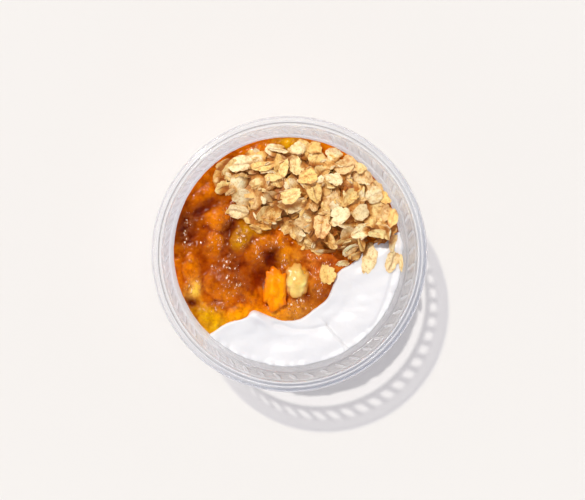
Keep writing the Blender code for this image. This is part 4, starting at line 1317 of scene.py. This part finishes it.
def build_core():
    n = 150
    g = np.linspace(-55, 55, n) * MM
    X, Y = np.meshgrid(g, g, indexing="ij")
    z = heap_top(X, Y, -2.0 * MM) - 2.4 * MM
    z = z + 0.5 * MM * fractal(X, Y, 0 * X, 2.4 * MM, 3, 311)
    ins = inside(X, Y, HEAP_LOOP) & (segment_distance(X, Y, HEAP_LOOP, True) > 2.4 * MM)
    r = np.hypot(X, Y)
    ins &= r < 49.6 * MM
    idx = np.arange(n * n).reshape(n, n)
    q = np.stack([idx[:-1, :-1], idx[1:, :-1], idx[1:, 1:], idx[:-1, 1:]], -1).reshape(-1, 4)
    q = q[ins.ravel()[q].all(1)]
    used = np.zeros(n * n, bool)
    used[q.ravel()] = True
    remap = np.cumsum(used) - 1
    x, y, zz = X.ravel()[used], Y.ravel()[used], z.ravel()[used]
    q = remap[q]
    m = len(x)
    low = fill(x, y) - 2.0 * MM
    zz = np.maximum(zz, low + 0.4 * MM)
    verts = np.vstack([np.stack([x, y, zz], 1), np.stack([x, y, low], 1)])
    faces = q.tolist() + (q[:, ::-1] + m).tolist()
    edges = {}
    for a in q.tolist():
        for i in range(4):
            e = (a[i], a[(i + 1) % 4])
            if (e[1], e[0]) in edges:
                del edges[(e[1], e[0])]
            else:
                edges[e] = True
    faces += [[b, a, a + m, b + m] for a, b in edges]
    # the core's dark brown stands in for the shade in the gaps between the flakes: painted shade
    f = np.clip(0.5 + 0.7 * fractal(verts[:, 0], verts[:, 1], verts[:, 2], 2.5 * MM, 3, 321), 0, 1)[:, None]
    tint = srgb(176, 110, 52) * f + srgb(92, 40, 10) * (1 - f)
    return new_mesh("oat_core", verts, faces, OATS, True, {"tint": tint})


core = build_core()
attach(core, "root")
oats = join_parts("oat_flakes", flakes, OATS, 52)
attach(oats, "root")
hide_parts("oats")
crumbs = join_parts("oat_bits", bits, OATS, 52)
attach(crumbs, "root")
for piece in (cup, yogurt, compote, fruit, core, oats, crumbs):
    print("TRIANGLES", piece.name, sum(len(f.vertices) - 2 for f in piece.data.polygons))


# --------------------------------------------------------------------------
# floor, light and camera
# --------------------------------------------------------------------------
FLOOR = floor_material()
floor = new_mesh("floor", [(-4, -4, -0.0002), (4, -4, -0.0002), (4, 4, -0.0002), (-4, 4, -0.0002)],
                 [[0, 1, 2, 3]], FLOOR, False, closed=False)

scene = bpy.context.scene
world = bpy.data.worlds.new("studio")
scene.world = world
world.use_nodes = True
wt = world.node_tree
wt.nodes.clear()
wout = wt.nodes.new("ShaderNodeOutputWorld")
wbg = wt.nodes.new("ShaderNodeBackground")
wtc = wt.nodes.new("ShaderNodeTexCoord")
wsep = wt.nodes.new("ShaderNodeSeparateXYZ")
wt.links.new(wtc.outputs["Generated"], wsep.inputs[0])
wramp = wt.nodes.new("ShaderNodeValToRGB")
wramp.color_ramp.interpolation = "EASE"
SKY = ((0.0, 1.15), (0.35, 0.78), (0.70, 0.20), (0.90, 0.04))
for k, (pos, val) in enumerate(SKY):
    if k == 0:
        el = wramp.color_ramp.elements[0]
    elif k == len(SKY) - 1:
        el = wramp.color_ramp.elements[-1]
    else:
        el = wramp.color_ramp.elements.new(pos)
    el.position = pos
    el.color = (val * 0.975, val * 0.98, val * 1.04, 1.0)
wt.links.new(wsep.outputs["Z"], wramp.inputs["Fac"])
wt.links.new(wramp.outputs["Color"], wbg.inputs["Color"])
wbg.inputs["Strength"].default_value = 1.0
wt.links.new(wbg.outputs[0], wout.inputs["Surface"])


def sunlight(name, energy, angle, colour, way):
    data = bpy.data.lights.new(name, "SUN")
    data.energy = energy
    data.angle = math.radians(angle)
    data.color = colour
    ob = bpy.data.objects.new(name, data)
    scene.collection.objects.link(ob)
    ob.rotation_euler = way.to_track_quat("-Z", "Y").to_euler()
    ob.location = -way * 1.0
    return ob


sunlight("sun", 1.87, 1.7, (1.0, 0.99, 0.90), Vector((20.6, -26.8, -60.0)).normalized())
overhead = sunlight("overhead", 1.11, 60.0, (0.975, 0.98, 1.05), Vector((0.05, -0.08, -1.0)).normalized())
overhead.visible_glossy = False
# seen only in wet surfaces, where it breaks up into the small white glints
gleam = sunlight("gleam", 0.9, 11.0, (1.0, 0.97, 0.97), Vector((19.1, -26.75, -60.0)).normalized())
gleam.visible_diffuse = False
gleam.visible_transmission = False

cam_data = bpy.data.cameras.new("camera")
cam = bpy.data.objects.new("camera", cam_data)
scene.collection.objects.link(cam)
scene.camera = cam
D = 0.500
cam_data.sensor_fit = "HORIZONTAL"
cam_data.sensor_width = 36.0
cam_data.lens = 36.0 * (D / (0.422 * MM)) / 585.0
cam_data.clip_start = 0.01
cam_data.clip_end = 50.0
aim = Vector((CX + 0.84 * MM, CY + 1.69 * MM, CUP_H))
lean = math.radians(3.0)
back = Vector((-math.sin(lean), 0.0, math.cos(lean)))
cam.location = aim + back * D
right = Vector((math.cos(lean), 0.0, math.sin(lean)))
up = back.cross(right)
cam.rotation_euler = Matrix((right, up, back)).transposed().to_euler()

scene.view_settings.view_transform = "Standard"
scene.view_settings.look = "None"
scene.view_settings.exposure = 0.0
scene.view_settings.gamma = 1.0
